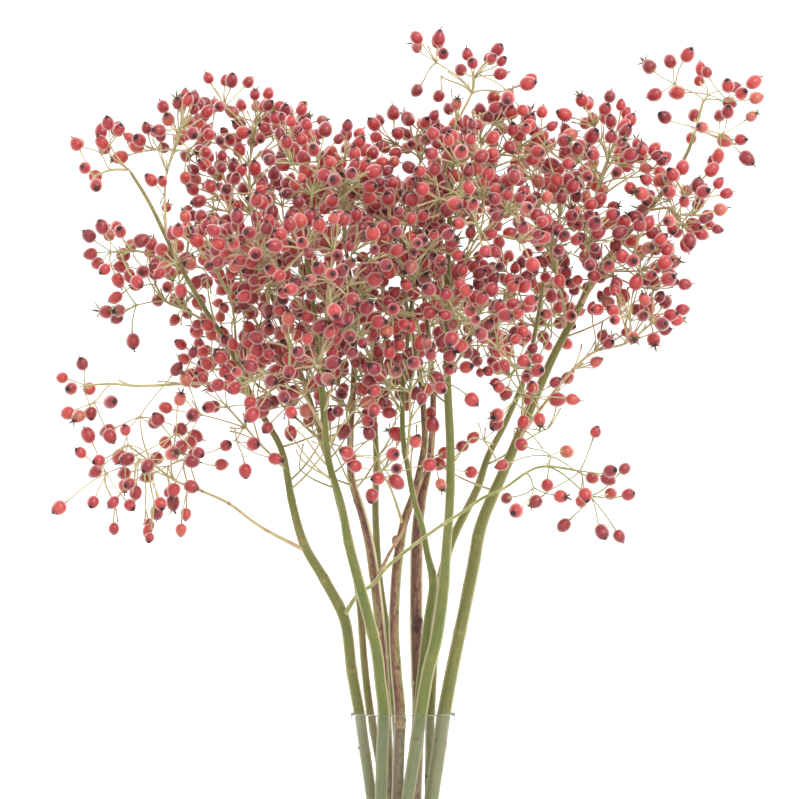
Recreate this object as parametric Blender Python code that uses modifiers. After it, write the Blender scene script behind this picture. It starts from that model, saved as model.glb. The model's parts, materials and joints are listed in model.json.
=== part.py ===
"""A bunch of rose hips in a plain glass vase: eleven cut canes, the sprays of hips they carry, and the vase.

Millimetres in the tables below, metres in the scene, +Z up. The origin is on the surface under the vase's
middle. The canes turn round each other inside the vase, as stems put in one by one do. The sprays are
grown by rule, each from its cane into its own head, and a twig or hip is only kept where it has room.
"""

import math
import random

import bmesh
import bpy
import numpy as np
from mathutils import Matrix, Vector

VASE_RADIUS = 30.0
VASE_HEIGHT = 200.0
VASE_WALL = 1.5
VASE_BASE = 16.0
FOOT_HEIGHT = VASE_BASE + 2.0      # the canes' cut ends stand just above the vase's base
TWIST = math.radians(-95.0)        # from the rim down, the canes turn round the vase's middle
FOOT_SHARE = 0.82                  # of a cane's distance from the middle at the rim
SEAM = 0.35                        # free space left between two pieces
HIP_ROOM = 0.9                     # more free space than that round each hip
HIP_RADIUS = (3.45, 4.1)
HIP_LENGTH = 2.15                  # of a hip's radius
PEDICEL_LENGTH = (9.0, 19.0)
HANGING_STRETCH = 1.3              # stalks that hang grow longer
BRANCHLET_MARGIN = 8.0             # a branchlet ends this far inside its head
PEDICEL_KNUCKLE = 0.62
UMBEL_KNUCKLE = 0.85
AXIS_KNUCKLE = 1.1
STEP = 15.0                        # between two knuckles of a spray's axis

# Each cane from the vase's rim upwards: x, y, z and the cane's radius there.
CANES = {
    "cane_01": [(-25, -1, 200, 3.2), (-29.3, -3, 224, 3.2), (-33.3, -5, 253, 3.2),
                (-44.8, -7, 276, 3.0), (-56.3, -9, 296, 2.7), (-63, -10, 319, 2.3),
                (-69, -11, 349, 1.9), (-86.7, -14, 381, 1.8), (-98.7, -16, 408, 1.6),
                (-114, -18, 432, 1.4), (-129, -19, 459, 1.3), (-143.5, -20, 489, 1.1),
                (-155, -21, 508, 0.9)],
    "cane_02": [(-19, 16, 200, 2.4), (-22.5, 19, 230, 2.2), (-25, 23, 262, 2.1),
                (-29.3, 28, 287, 2.0), (-39, 37, 327, 1.8), (-50.5, 46, 368, 1.6),
                (-64, 53, 408, 1.4), (-80, 62, 450, 1.2), (-90, 70, 492, 0.9)],
    "cane_03": [(-11, -21.3, 200, 3.4), (-15.5, -27, 239, 3.3), (-23, -31, 268, 3.1),
                (-30.4, -36, 296, 2.8), (-35, -41, 320, 2.1), (-41.9, -47, 344, 2.0),
                (-45, -55, 378, 1.9), (-48, -63, 415, 1.5), (-54, -71, 455, 1.1)],
    "cane_04": [(-9.6, -2.0, 200, 2.8), (-12, -4, 239, 3.0), (-16.6, -6, 280, 3.0),
                (-19.5, -8, 298, 2.8), (-24, -10, 316, 2.5), (-29.3, -13, 334, 2.3),
                (-30, -16, 355, 1.9), (-28, -20, 390, 1.7), (-28, -24, 430, 1.4),
                (-33, -27, 468, 1.0)],
    "cane_05": [(-4.6, 11, 200, 2.2), (-8, 14, 239, 2.1), (-13.8, 18, 277, 2.1), (-16, 23, 320, 2.0),
                (-15.5, 28, 346, 1.8), (-17, 36, 379, 1.6), (-14, 48, 430, 1.3), (-6, 60, 478, 0.9)],
    "cane_06": [(-1.8, -9.2, 200, 3.3), (-5.2, -10, 248, 3.0), (-2.9, -11, 288, 2.9),
                (0.6, -12, 309, 2.5), (6.9, -14, 328, 2.1), (12, -17, 352, 1.9), (10, -21, 390, 1.6),
                (3, -27, 425, 1.3), (-1, -30, 452, 0.9)],
    "cane_07": [(9, 2, 200, 3.7), (7.5, 3, 252, 3.7), (8, 5, 300, 3.6), (10, 6, 320, 3.0),
                (15, 8, 343, 2.2), (17.5, 11, 379, 1.8), (14, 15, 425, 1.4), (8, 19, 470, 1.1),
                (4, 21, 498, 0.9)],
    "cane_08": [(8.3, -10.7, 200, 2.6), (11.2, -11.7, 226, 2.7), (14.3, -13, 252, 2.8),
                (17.2, -16, 274, 2.6), (13.8, -23, 291, 1.9), (10.9, -29, 306, 1.8),
                (6.3, -35, 321, 1.7), (3.4, -39, 336, 1.6), (0, -44, 357, 1.5), (0, -50, 385, 1.4),
                (3, -57, 415, 1.2), (6, -63, 442, 0.9)],
    "cane_09": [(10, -21.4, 200, 3.6), (14, -24, 224, 3.6), (19, -27, 244, 3.6),
                (22.7, -31, 271, 3.3), (24.7, -35, 298, 2.7), (26.4, -39, 322, 2.6),
                (26.6, -43, 350, 2.5), (25, -47, 385, 2.2), (24.7, -50, 436, 1.8),
                (27, -50, 494, 1.3), (30, -46, 532, 0.9)],
    "cane_10": [(16, 18, 200, 2.8), (17.5, 24, 232, 2.8), (19.5, 29, 264, 2.7), (28, 36, 297, 2.6),
                (43, 44, 328, 2.4), (50, 49, 348, 2.0), (60, 55, 367, 1.8), (71, 62, 392, 1.6),
                (80, 70, 430, 1.3), (86, 76, 470, 0.9)],
    "cane_11": [(23.6, -2.8, 200, 4.0), (28, -3, 224, 3.8), (34.4, -3, 255, 3.7),
                (40.2, -2, 284, 3.7), (45.3, -1, 309, 3.6), (59, 0, 341, 3.0), (70.6, 1, 368, 2.7),
                (84.4, 1, 400, 2.4), (101, 2, 432, 2.1), (112, 3, 453, 1.9), (131, 4, 477, 1.7),
                (150.4, 4, 500, 1.4), (163, 5, 520, 1.1), (168, 5, 533, 0.9)],
}

# Each spray: its cane, the height it leaves it at (None is the cane's tip), the points it passes,
# the middle of its head, the head's half sizes, how many hips it carries and how far their stalks lift.
SPRAYS = [
    # the far left arm and the two long low side shoots
    ("cane_01", None, [], (-174, -24, 505), (30, 22, 30), 10, 0.2),
    ("cane_01", 478, [], (-130, 0, 532), (26, 26, 25), 20, 0.3),
    ("cane_01", 458, [], (-166, -30, 464), (20, 22, 24), 14, 0.1),
    ("cane_01", 425, [], (-143, 4, 448), (33, 28, 34), 34, 0.1),
    ("cane_01", 405, [], (-115, -44, 464), (28, 26, 28), 17, 0.3),
    ("cane_01", 388, [(-112, -30, 387), (-140, -38, 385), (-162, -42, 386)],
     (-178, -44, 386), (26, 22, 22), 9, 0.0),
    ("cane_01", 298, [(-76, -16, 303), (-100, -24, 318), (-130, -32, 333)],
     (-156, -38, 352), (48, 30, 30), 40, -0.5),
    ("cane_01", 262, [(-17, -22, 275), (0, -32, 292), (24, -52, 309), (56, -62, 330), (80, -64, 341)],
     (98, -66, 337), (48, 26, 24), 20, -0.3),
    ("cane_01", 345, [], (-98, -46, 374), (30, 24, 32), 17, -0.2),
    # the upper left
    ("cane_02", None, [], (-88, 80, 548), (46, 32, 30), 36, 0.3),
    ("cane_02", 462, [], (-111, 62, 512), (29, 28, 28), 20, 0.3),
    ("cane_02", 440, [], (-72, 90, 498), (32, 28, 32), 28, 0.3),
    ("cane_02", 405, [], (-94, 50, 460), (30, 28, 30), 24, 0.2),
    ("cane_02", 362, [], (-100, 58, 412), (32, 28, 36), 34, 0.1),
    ("cane_03", None, [], (-48, -72, 508), (34, 30, 32), 30, 0.2),
    ("cane_03", 425, [], (-78, -82, 466), (30, 28, 28), 24, 0.3),
    ("cane_03", 400, [], (-38, -98, 456), (30, 28, 30), 26, 0.2),
    ("cane_03", 365, [], (-62, -80, 406), (42, 30, 34), 34, 0.0),
    ("cane_04", None, [], (-34, -34, 502), (32, 30, 30), 30, 0.3),
    ("cane_04", 430, [], (-72, -28, 456), (30, 28, 28), 26, 0.2),
    ("cane_04", 375, [], (-56, -30, 386), (32, 28, 30), 22, 0.0),
    ("cane_04", 345, [], (-26, -38, 388), (30, 26, 25), 19, -0.1),
    # the middle
    ("cane_05", None, [], (-18, 74, 506), (32, 28, 28), 26, 0.3),
    ("cane_05", 385, [], (-34, 60, 428), (30, 28, 30), 22, 0.1),
    ("cane_06", None, [], (-2, -38, 482), (30, 28, 28), 22, 0.3),
    ("cane_08", 375, [], (-22, -76, 434), (30, 28, 28), 22, 0.2),
    ("cane_08", 350, [], (4, -68, 396), (30, 26, 28), 19, 0.0),
    ("cane_06", 312, [], (-12, -48, 345), (24, 20, 22), 11, -0.1),
    ("cane_04", 280, [(-8, -19, 292), (-1, -23, 305), (7, -26, 321), (13, -30, 335)],
     (18, -34, 346), (24, 20, 20), 9, -0.2),
    ("cane_07", None, [], (14, 22, 530), (30, 30, 26), 18, 0.3),
    ("cane_07", 465, [], (38, 30, 505), (30, 28, 28), 22, 0.3),
    ("cane_07", 405, [], (2, 0, 446), (28, 28, 28), 16, 0.2),
    ("cane_08", None, [], (6, -78, 472), (30, 26, 28), 20, 0.3),
    ("cane_05", 400, [], (34, 84, 434), (36, 28, 32), 24, 0.1),
    ("cane_09", None, [], (42, -48, 558), (34, 26, 36), 20, 0.3),
    ("cane_09", 490, [], (62, -36, 526), (34, 28, 28), 28, 0.3),
    ("cane_09", 465, [], (30, -82, 504), (30, 28, 28), 19, 0.3),
    ("cane_09", 440, [], (56, -80, 480), (30, 28, 28), 27, 0.3),
    ("cane_09", 395, [], (44, -84, 424), (32, 28, 28), 26, 0.1),
    # the right
    ("cane_10", None, [], (82, 84, 514), (36, 32, 34), 32, 0.2),
    ("cane_10", 425, [], (86, 88, 452), (42, 30, 34), 34, 0.0),
    ("cane_11", 365, [], (66, -30, 396), (28, 24, 28), 17, -0.1),
    ("cane_11", 425, [], (88, -34, 480), (32, 28, 32), 27, 0.2),
    ("cane_11", 362, [(86, -14, 385), (108, -24, 404), (126, -34, 410)],
     (140, -44, 420), (32, 22, 24), 16, 0.0),
    ("cane_11", 440, [], (130, -38, 458), (30, 26, 30), 28, 0.3),
    ("cane_11", 455, [], (122, -10, 528), (36, 38, 38), 42, 0.2),
    ("cane_11", 495, [], (160, -26, 476), (34, 26, 36), 23, 0.2),
    ("cane_11", None, [], (177, 6, 556), (30, 26, 50), 26, 0.2),
]


def unit(v):
    return v / math.sqrt(v @ v)


def smooth_path(points, step):
    """Points about step apart on a Catmull-Rom curve through the given points."""
    pts = np.array(points, float)
    pts = np.vstack([2 * pts[0] - pts[1], pts, 2 * pts[-1] - pts[-2]])
    found = []
    for i in range(len(pts) - 3):
        a, b, c, d = pts[i:i + 4]
        count = max(1, round(np.linalg.norm(c - b) / step))
        for t in np.arange(count) / count:
            found.append(0.5 * (2 * b + (c - a) * t + (2 * a - 5 * b + 4 * c - d) * t * t
                                + (3 * b - a - 3 * c + d) * t ** 3))
    return np.array(found + [pts[-2]])


def cane_path(name):
    """A cane's points and radii, from its cut foot in the vase to its tip."""
    x, y, _, radius = CANES[name][0]
    turn = np.array([[math.cos(TWIST), -math.sin(TWIST)], [math.sin(TWIST), math.cos(TWIST)]])
    path = smooth_path(CANES[name], 24.0)
    foot = (*(FOOT_SHARE * turn @ (x, y)), FOOT_HEIGHT, radius)
    path = np.vstack([foot, path])
    return path[:, :3], path[:, 3]


def gaps(a, b, starts, ends):
    """The distance from the segment a-b to each of the segments starts-ends."""
    d1, d2, r = b - a, ends - starts, a - starts
    aa, ee = max(d1 @ d1, 1e-9), np.maximum((d2 * d2).sum(1), 1e-9)
    bb, cc, ff = d2 @ d1, r @ d1, (d2 * r).sum(1)
    s = np.clip((bb * ff - cc * ee) / np.maximum(aa * ee - bb * bb, 1e-9), 0, 1)
    t = np.clip((bb * s + ff) / ee, 0, 1)
    s = np.clip((bb * t - cc) / aa, 0, 1)
    return np.linalg.norm(a + s[:, None] * d1 - starts - t[:, None] * d2, axis=1)


class Crowd:
    """Everything grown so far, as round-ended rods that meet at numbered knuckles."""

    def __init__(self):
        self.starts, self.ends = np.zeros((9000, 3)), np.zeros((9000, 3))
        self.radii, self.meets = np.zeros(9000), np.zeros((9000, 2), int)
        self.count = 0

    def add(self, a, b, radius, meets=(0, 0)):
        n = self.count
        self.starts[n], self.ends[n], self.radii[n], self.meets[n] = a, b, radius, meets
        self.count += 1

    def fits(self, a, b, radius, knuckle=-1):
        """Whether a rod has room, apart from the rods that meet it at its own knuckle."""
        n = self.count
        near = gaps(a, b, self.starts[:n], self.ends[:n]) - self.radii[:n] - radius < SEAM
        return not (near & (self.meets[:n] != knuckle).all(1)).any()


class Knuckle:
    """A joint of a spray: an eight-faced knob that can carry one arm in each of its octants."""
    made = 0

    def __init__(self, point, radius, ahead, corner):
        Knuckle.made += 1
        self.number = Knuckle.made
        self.point, self.radius = point, radius
        across = unit(corner - (corner @ ahead) * ahead)
        side = np.cross(ahead, across)
        self.axes = np.array([ahead / math.sqrt(3) + math.sqrt(2 / 3) *
                              (math.cos(a) * across + math.sin(a) * side)
                              for a in (0.0, math.tau / 3, -math.tau / 3)])
        self.ahead = ahead
        self.arms = {}          # octant -> Knuckle or Hip

    def octant(self, direction):
        return tuple(int(s) for s in np.where(self.axes @ direction >= 0, 1, -1))

    def corners(self, octant):
        """The three corners of the face that looks into an octant."""
        return [self.point + self.radius * s * axis for s, axis in zip(octant, self.axes)]


class Hip:
    """A hip: the point where its stalk ends, the way it looks, and its radius."""

    def __init__(self, base, look, radius):
        self.base, self.look, self.radius = base, look, radius
        self.middle = base + look * radius
        self.tip = base + look * radius * HIP_LENGTH


BEHIND = (-1, -1, -1)
AHEAD = (1, 1, 1)


def random_ball(rng):
    """A random point in the unit ball."""
    while True:
        v = np.array([rng.uniform(-1, 1) for _ in range(3)])
        if v @ v <= 1.0:
            return v


def grow_axis(crowd, rng, cane, height, via, head):
    """A spray's chain of knuckles, from beside its cane to the middle of its head."""
    path, radii = cane_path(cane)
    if height is None:
        place, radius = path[-1], 0.0
        leave = unit(path[-1] - path[-2])
        out = leave
    else:
        place = np.array([np.interp(height, path[:, 2], path[:, i]) for i in range(3)])
        radius = radii[np.searchsorted(path[:, 2], height) - 1]
        rise = unit(np.array([np.interp(height + 5, path[:, 2], path[:, i]) for i in range(3)]) - place)
        goal = np.array(via[0] if via else head) - place
        out = unit(goal - (goal @ rise) * rise)
        leave = unit(out + 0.6 * rise)
    thick = AXIS_KNUCKLE + 0.12 * len(via)
    first = place + out * (radius + 1.5 * SEAM + thick)
    for _ in range(60):
        bow = random_ball(rng) * (4.0 + 0.1 * np.linalg.norm(np.array(head) - first))
        middle = [np.array(p) + random_ball(rng) * 2.0 for p in via]
        middle = middle or [0.5 * (first + leave * 14 + head) + bow]
        chain = smooth_path([first, *middle, np.array(head) + random_ball(rng) * 3], STEP)
        chain[1:-1] += np.array([random_ball(rng) * 1.0 for _ in chain[1:-1]])
        if all(crowd.fits(a, b, thick) for a, b in zip(chain[:-1], chain[1:])):
            turns = [unit(b - a) for a, b in zip(chain[:-1], chain[1:])]
            if min(a @ b for a, b in zip([turns[0], *turns[:-1]], turns)) > 0.84:
                break
    else:
        raise ValueError(f"no room for the spray from {cane} to {head}")
    knuckles = []
    corner = np.array([rng.uniform(-1, 1) for _ in range(3)])
    aheads = [turns[0], *turns]
    for i, (point, ahead) in enumerate(zip(chain, aheads)):
        share = i / (len(chain) - 1)
        size = thick + (UMBEL_KNUCKLE - thick) * share
        knuckle = Knuckle(point, size, ahead, corner)
        if knuckles:
            knuckles[-1].arms[AHEAD] = knuckle
            crowd.add(knuckles[-1].point, point, knuckles[-1].radius,
                      (knuckles[-1].number, knuckle.number))
        corner = -knuckle.axes[0]
        knuckles.append(knuckle)
    return knuckles


def clear_of_arms(knuckle, direction, least=0.86):
    """Whether a new arm keeps its angle from the arms that the knuckle already has."""
    if direction @ -knuckle.ahead > least:
        return False
    others = [arm.point if isinstance(arm, Knuckle) else arm.base for arm in knuckle.arms.values()]
    return all(unit(other - knuckle.point) @ direction < least for other in others)


def grow_hip(crowd, rng, knuckle, lift):
    """Tries one hip on a stalk in a free octant of the knuckle, and says whether it had room."""
    octant = tuple(rng.choice((-1, 1)) for _ in range(3))
    face = unit(np.array(octant) @ knuckle.axes)
    lean = rng.uniform(0.1, 0.6)
    way = unit(face * (1 - lean) + knuckle.ahead * lean + random_ball(rng) * 0.3 + np.array([0, 0, lift]))
    if knuckle.octant(way) in [*knuckle.arms, BEHIND] or not clear_of_arms(knuckle, way):
        return False
    radius = rng.uniform(*HIP_RADIUS)
    stalk = rng.uniform(*PEDICEL_LENGTH) * (1.0 + max(0.0, -lift) * HANGING_STRETCH)
    hip = Hip(knuckle.point + way * stalk, way, radius)
    if not crowd.fits(hip.middle, hip.middle + way * 0.15 * radius, radius * 1.08 + HIP_ROOM):
        return False
    if not crowd.fits(knuckle.point, hip.base, PEDICEL_KNUCKLE, knuckle.number):
        return False
    crowd.add(knuckle.point, hip.base, PEDICEL_KNUCKLE, (knuckle.number, knuckle.number))
    crowd.add(hip.middle, hip.middle + way * 0.15 * radius, radius * 1.08)
    knuckle.arms[knuckle.octant(way)] = hip
    return True


def grow_branchlet(crowd, rng, axis, head, spread):
    """Tries one branchlet from the axis to a random place in the head, and returns its end knuckle."""
    target = np.array(head) + random_ball(rng) * (np.array(spread) - BRANCHLET_MARGIN)
    costs = []
    for knuckle in axis:
        away = target - knuckle.point
        length = np.linalg.norm(away)
        lean = away @ knuckle.ahead / length
        if 8.0 < length < 42.0 and -0.1 < lean < 0.93 and len(knuckle.arms) < 4:
            costs.append((length - 6.0 * lean, knuckle.number, knuckle))
    if not costs:
        return None
    base = min(costs)[2]
    way = unit(target - base.point)
    octant = base.octant(way)
    if octant in (BEHIND, AHEAD) or octant in base.arms or not clear_of_arms(base, way):
        return None
    if not crowd.fits(base.point, target, UMBEL_KNUCKLE, base.number):
        return None
    squarest = int(np.argmin(abs(base.axes @ way)))
    tip = Knuckle(target, UMBEL_KNUCKLE, way, -octant[squarest] * base.axes[squarest])
    crowd.add(base.point, target, UMBEL_KNUCKLE, (base.number, tip.number))
    base.arms[octant] = tip
    return tip


def grow_spray(crowd, rng, axis, head, spread, hips, lift):
    """Fills a spray's head: branchlets from its axis, each with an umbel of hips at its end."""
    done = 0
    umbels = [axis[-1]]
    for turn in range(400):
        if done >= hips:
            break
        tip = umbels.pop() if umbels else grow_branchlet(crowd, rng, axis, head, spread)
        if tip is None:
            continue
        wanted = rng.choice((4, 4, 5, 5, 6, 6))
        for _ in range(50):
            if wanted and done < hips and grow_hip(crowd, rng, tip, lift):
                wanted -= 1
                done += 1
    return done


def prune(knuckle, parent=None):
    """Drops the arms that carry no hip, and says whether any is left."""
    for octant, arm in list(knuckle.arms.items()):
        if isinstance(arm, Knuckle) and not prune(arm):
            del knuckle.arms[octant]
    return bool(knuckle.arms)


def grow_bunch():
    """Each cane's path and radii, each spray's first knuckle, and the crowd, grown so that nothing touches."""
    crowd = Crowd()
    canes = {name: cane_path(name) for name in CANES}
    for path, radii in canes.values():
        for a, b, radius in zip(path[:-1], path[1:], radii[:-1]):
            crowd.add(a, b, radius)
        crowd.ends[crowd.count - 1] -= unit(path[-1] - path[-2]) * radii[-2]
    axes = [grow_axis(crowd, random.Random(number), *row[:4]) for number, row in enumerate(SPRAYS)]
    sprays = {}
    for number, (axis, row) in enumerate(zip(axes, SPRAYS), 1):
        grow_spray(crowd, random.Random(1000 + number), axis, *row[3:])
        prune(axis[0])
        sprays[f"spray_{number:02d}"] = axis[0]
    return canes, sprays, crowd


MM = 0.001
VASE_SIDES = 40
RIM_ROUND = 0.75
FLOOR_ROUND = 3.0
FOOT_ROUND = 1.5
HIP_SHOULDER = 1.08                # the four-sided belly is this much wider than the round hip
STALK_TOP = 0.5

GREEN, OLIVE = (0.20, 0.25, 0.06), (0.26, 0.25, 0.09)
BROWN, RED_BROWN = (0.17, 0.10, 0.06), (0.20, 0.08, 0.05)
BARK = {
    "cane_01": OLIVE, "cane_02": OLIVE, "cane_03": GREEN, "cane_04": RED_BROWN,
    "cane_05": OLIVE, "cane_06": BROWN, "cane_07": BROWN, "cane_08": GREEN,
    "cane_09": GREEN, "cane_10": OLIVE, "cane_11": OLIVE,
}
HIP_RED = (0.50, 0.07, 0.07)
GLASS = (0.95, 0.97, 0.97)


def clear_scene():
    for thing in list(bpy.data.objects):
        bpy.data.objects.remove(thing, do_unlink=True)


def make_material(name, colour, roughness, transmission=0.0):
    material = bpy.data.materials.new(name)
    material.use_nodes = True
    shader = material.node_tree.nodes["Principled BSDF"]
    shader.inputs["Base Color"].default_value = (*colour, 1.0)
    shader.inputs["Roughness"].default_value = roughness
    shader.inputs["Metallic"].default_value = 0.0
    shader.inputs["Transmission Weight"].default_value = transmission
    material.diffuse_color = (*colour, 1.0)
    return material


def add_object(name, data, collection, material):
    thing = bpy.data.objects.new(name, data)
    data.materials.append(material)
    collection.objects.link(thing)
    return thing


# --- the vase

def arc(x, z, radius, first, last, steps=3):
    """Points on an arc round (x, z), from one angle to another, in degrees."""
    turns = [math.radians(first + (last - first) * i / steps) for i in range(steps + 1)]
    return [(x + radius * math.cos(a), z + radius * math.sin(a)) for a in turns]


def vase_profile():
    """Half the vase's section: the floor's middle, up the inside, over the rim and down the outside."""
    inside = VASE_RADIUS - VASE_WALL
    return [
        (0.0, VASE_BASE),
        *arc(inside - FLOOR_ROUND, VASE_BASE + FLOOR_ROUND, FLOOR_ROUND, -90, 0),
        *arc(VASE_RADIUS - RIM_ROUND, VASE_HEIGHT - RIM_ROUND, RIM_ROUND, 180, 0),
        *arc(VASE_RADIUS - FOOT_ROUND, FOOT_ROUND, FOOT_ROUND, 0, -90, 2),
        (0.0, 0.0),
    ]


def make_vase(collection):
    profile = vase_profile()
    mesh = bpy.data.meshes.new("glass_vase")
    edges = [(i, i + 1) for i in range(len(profile) - 1)]
    mesh.from_pydata([(x * MM, 0.0, z * MM) for x, z in profile], edges, [])
    vase = add_object("glass_vase", mesh, collection, make_material("clear_glass", GLASS, 0.05, 1.0))
    turn = vase.modifiers.new("turned", "SCREW")
    turn.axis = "Z"
    turn.steps = VASE_SIDES
    turn.render_steps = VASE_SIDES
    turn.use_merge_vertices = True
    turn.merge_threshold = 0.00001
    turn.use_smooth_shade = True


# --- the canes

def make_cane(name, path, radii, collection):
    """A cut stem as a tapering tube through its points."""
    curve = bpy.data.curves.new(name, "CURVE")
    curve.dimensions = "3D"
    curve.bevel_depth = MM
    curve.bevel_resolution = 1
    curve.use_fill_caps = True
    line = curve.splines.new("POLY")
    line.points.add(len(path) - 1)
    for point, place, radius in zip(line.points, path, radii):
        point.co = (*(place * MM), 1.0)
        point.radius = radius
    add_object(name, curve, collection, make_material(name + "_bark", BARK[name], 0.6))


# --- the sprays

def loft(bm, lower, upper):
    """Joins two rings of corners, which may differ in number, with a band of triangles."""
    i = j = 0
    while i < len(lower) or j < len(upper):
        a, b = lower[i % len(lower)], upper[j % len(upper)]
        if j * len(lower) <= i * len(upper):
            j += 1
            bm.faces.new((a, b, upper[j % len(upper)]))
        else:
            i += 1
            bm.faces.new((a, b, lower[i % len(lower)]))


def turning_left(ring, way):
    """The ring's corners in the order that turns left about the direction they look in."""
    a, b, c = (np.array(v.co) for v in ring)
    return ring if np.cross(b - a, c - a) @ way > 0 else [ring[0], ring[2], ring[1]]


def nearest_turn(ring, other):
    """The other ring, started at the corner that twists the band between them least."""
    turns = [other[i:] + other[:i] for i in range(len(other))]
    return min(turns, key=lambda turn: sum((a.co - b.co).length for a, b in zip(ring, turn)))


def add_knob(bm, knuckle, used):
    """A knuckle's eight-faced knob, open towards its arms; its corners by axis and sign."""
    turn = Matrix([list(axis) for axis in knuckle.axes]).transposed().to_4x4()
    frame = Matrix.Translation(Vector(knuckle.point * MM)) @ turn
    size = knuckle.radius * MM
    knob = bmesh.ops.create_uvsphere(bm, u_segments=4, v_segments=2, radius=size, matrix=frame)
    corners = {}
    for axis in range(3):
        for sign in (-1, 1):
            way = Vector(sign * knuckle.axes[axis])
            corners[axis, sign] = max(knob["verts"], key=lambda vert: vert.co.dot(way))
    for octant in used:
        bm.faces.remove(bm.faces.get(face_ring(corners, octant)))
    return corners


def face_ring(corners, octant):
    return [corners[axis, sign] for axis, sign in enumerate(octant)]


def add_hip(bm, ring, hip):
    """A stalk that narrows to its hip, the hip's four-sided belly and its pointed end."""
    first = np.array(ring[0].co) / MM - hip.base
    across = unit(first - (first @ hip.look) * hip.look)
    side = np.cross(hip.look, across)

    def corners(middle, radius, count):
        turns = [math.tau * i / count for i in range(count)]
        ways = [math.cos(a) * across + math.sin(a) * side for a in turns]
        return [bm.verts.new((middle + radius * way) * MM) for way in ways]

    neck = corners(hip.base, STALK_TOP, 3)
    belly = corners(hip.middle, hip.radius * HIP_SHOULDER, 4)
    end = bm.verts.new(hip.tip * MM)
    loft(bm, ring, neck)
    loft(bm, neck, belly)
    for a, b in zip(belly, belly[1:] + belly[:1]):
        bm.faces.new((a, b, end))


def add_twigs(bm, knuckle, first=False):
    """The knuckle's knob and everything that grows from it; the ring that looks back to its parent."""
    corners = add_knob(bm, knuckle, [*knuckle.arms] + ([] if first else [BEHIND]))
    for octant, arm in knuckle.arms.items():
        goal = arm.base if isinstance(arm, Hip) else arm.point
        way = unit(goal - knuckle.point)
        ring = turning_left(face_ring(corners, octant), way)
        if isinstance(arm, Hip):
            add_hip(bm, ring, arm)
        else:
            far = turning_left(add_twigs(bm, arm), way)
            loft(bm, ring, nearest_turn(ring, far))
    return face_ring(corners, BEHIND)


def make_spray(name, knuckle, collection, material):
    bm = bmesh.new()
    add_twigs(bm, knuckle, first=True)
    bmesh.ops.recalc_face_normals(bm, faces=bm.faces)
    mesh = bpy.data.meshes.new(name)
    bm.to_mesh(mesh)
    bm.free()
    add_object(name, mesh, collection, material)


def main():
    clear_scene()
    collection = bpy.data.collections.new("rose_hip_bouquet")
    bpy.context.scene.collection.children.link(collection)
    make_vase(collection)
    canes, sprays, _ = grow_bunch()
    for name, (path, radii) in canes.items():
        make_cane(name, path, radii, collection)
    for name, knuckle in sprays.items():
        make_spray(name, knuckle, collection, make_material(name + "_red", HIP_RED, 0.45))


main()
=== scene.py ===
"""Looks of a bunch of rose hips in a plain glass vase.

The canes and twigs come from the same growth rules as the solids. Millimetres in the tables and while
the shapes are made, metres in the meshes.
"""
import json
import math
import random

import bpy
import numpy as np
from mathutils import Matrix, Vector


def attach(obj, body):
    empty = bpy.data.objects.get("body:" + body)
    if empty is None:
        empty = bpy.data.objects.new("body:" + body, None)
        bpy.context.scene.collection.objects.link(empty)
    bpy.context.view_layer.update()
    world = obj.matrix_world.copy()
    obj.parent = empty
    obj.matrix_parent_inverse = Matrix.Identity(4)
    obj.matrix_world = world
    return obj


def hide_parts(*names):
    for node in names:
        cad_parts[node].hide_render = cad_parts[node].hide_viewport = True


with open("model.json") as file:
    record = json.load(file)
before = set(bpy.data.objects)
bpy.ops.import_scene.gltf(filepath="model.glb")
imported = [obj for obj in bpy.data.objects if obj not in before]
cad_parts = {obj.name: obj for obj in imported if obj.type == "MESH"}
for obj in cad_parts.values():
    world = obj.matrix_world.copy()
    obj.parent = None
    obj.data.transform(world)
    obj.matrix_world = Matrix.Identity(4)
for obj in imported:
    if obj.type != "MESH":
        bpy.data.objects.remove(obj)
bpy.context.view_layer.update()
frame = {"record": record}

VASE_RADIUS = 30.0
VASE_HEIGHT = 200.0
VASE_WALL = 1.5
VASE_BASE = 16.0
FOOT_HEIGHT = VASE_BASE + 2.0  # the canes' cut ends stand just above the vase's base
TWIST = math.radians(-95.0)  # from the rim down, the canes turn round the vase's middle
FOOT_SHARE = 0.82  # of a cane's distance from the middle at the rim
SEAM = 0.35  # free space left between two pieces
HIP_ROOM = 0.9  # more free space than that round each hip
HIP_RADIUS = (3.45, 4.1)
PEDICEL_LENGTH = (9.0, 19.0)
HANGING_STRETCH = 1.3  # stalks that hang grow longer
BRANCHLET_MARGIN = 8.0  # a branchlet ends this far inside its head
PEDICEL_KNUCKLE = 0.62
UMBEL_KNUCKLE = 0.85
AXIS_KNUCKLE = 1.1
STEP = 15.0  # between two knuckles of a spray's axis
CANE_STEP = 24.0  # between two points of a cane
LEAST_STRAIGHT = 0.84  # cosine of the sharpest bend of a spray's axis
AXIS_TRIES, BRANCHLET_TRIES, HIP_TRIES = 60, 400, 50
BRANCHLET_REACH = (8.0, 42.0)  # the least and the most from the axis to its end
BRANCHLET_LEAN = (-0.1, 0.93)  # cosine of its angle to the axis
MOST_ARMS = 4  # a knuckle with so many takes no branchlet
UMBEL_HIPS = (4, 4, 5, 5, 6, 6)  # drawn from: how many hips an umbel is to get
BELLY, BELLY_REACH = 1.08, 0.15  # of a hip's radius: the rod that stands for it, its radius and length
SPRAY_SEED = 1000  # this and a spray's number seed the draws that fill it
MOST_RODS = 9000  # that a crowd can hold
NO_KNUCKLE = -1  # a number that no knuckle has
UP = np.array([0.0, 0.0, 1.0])

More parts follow.
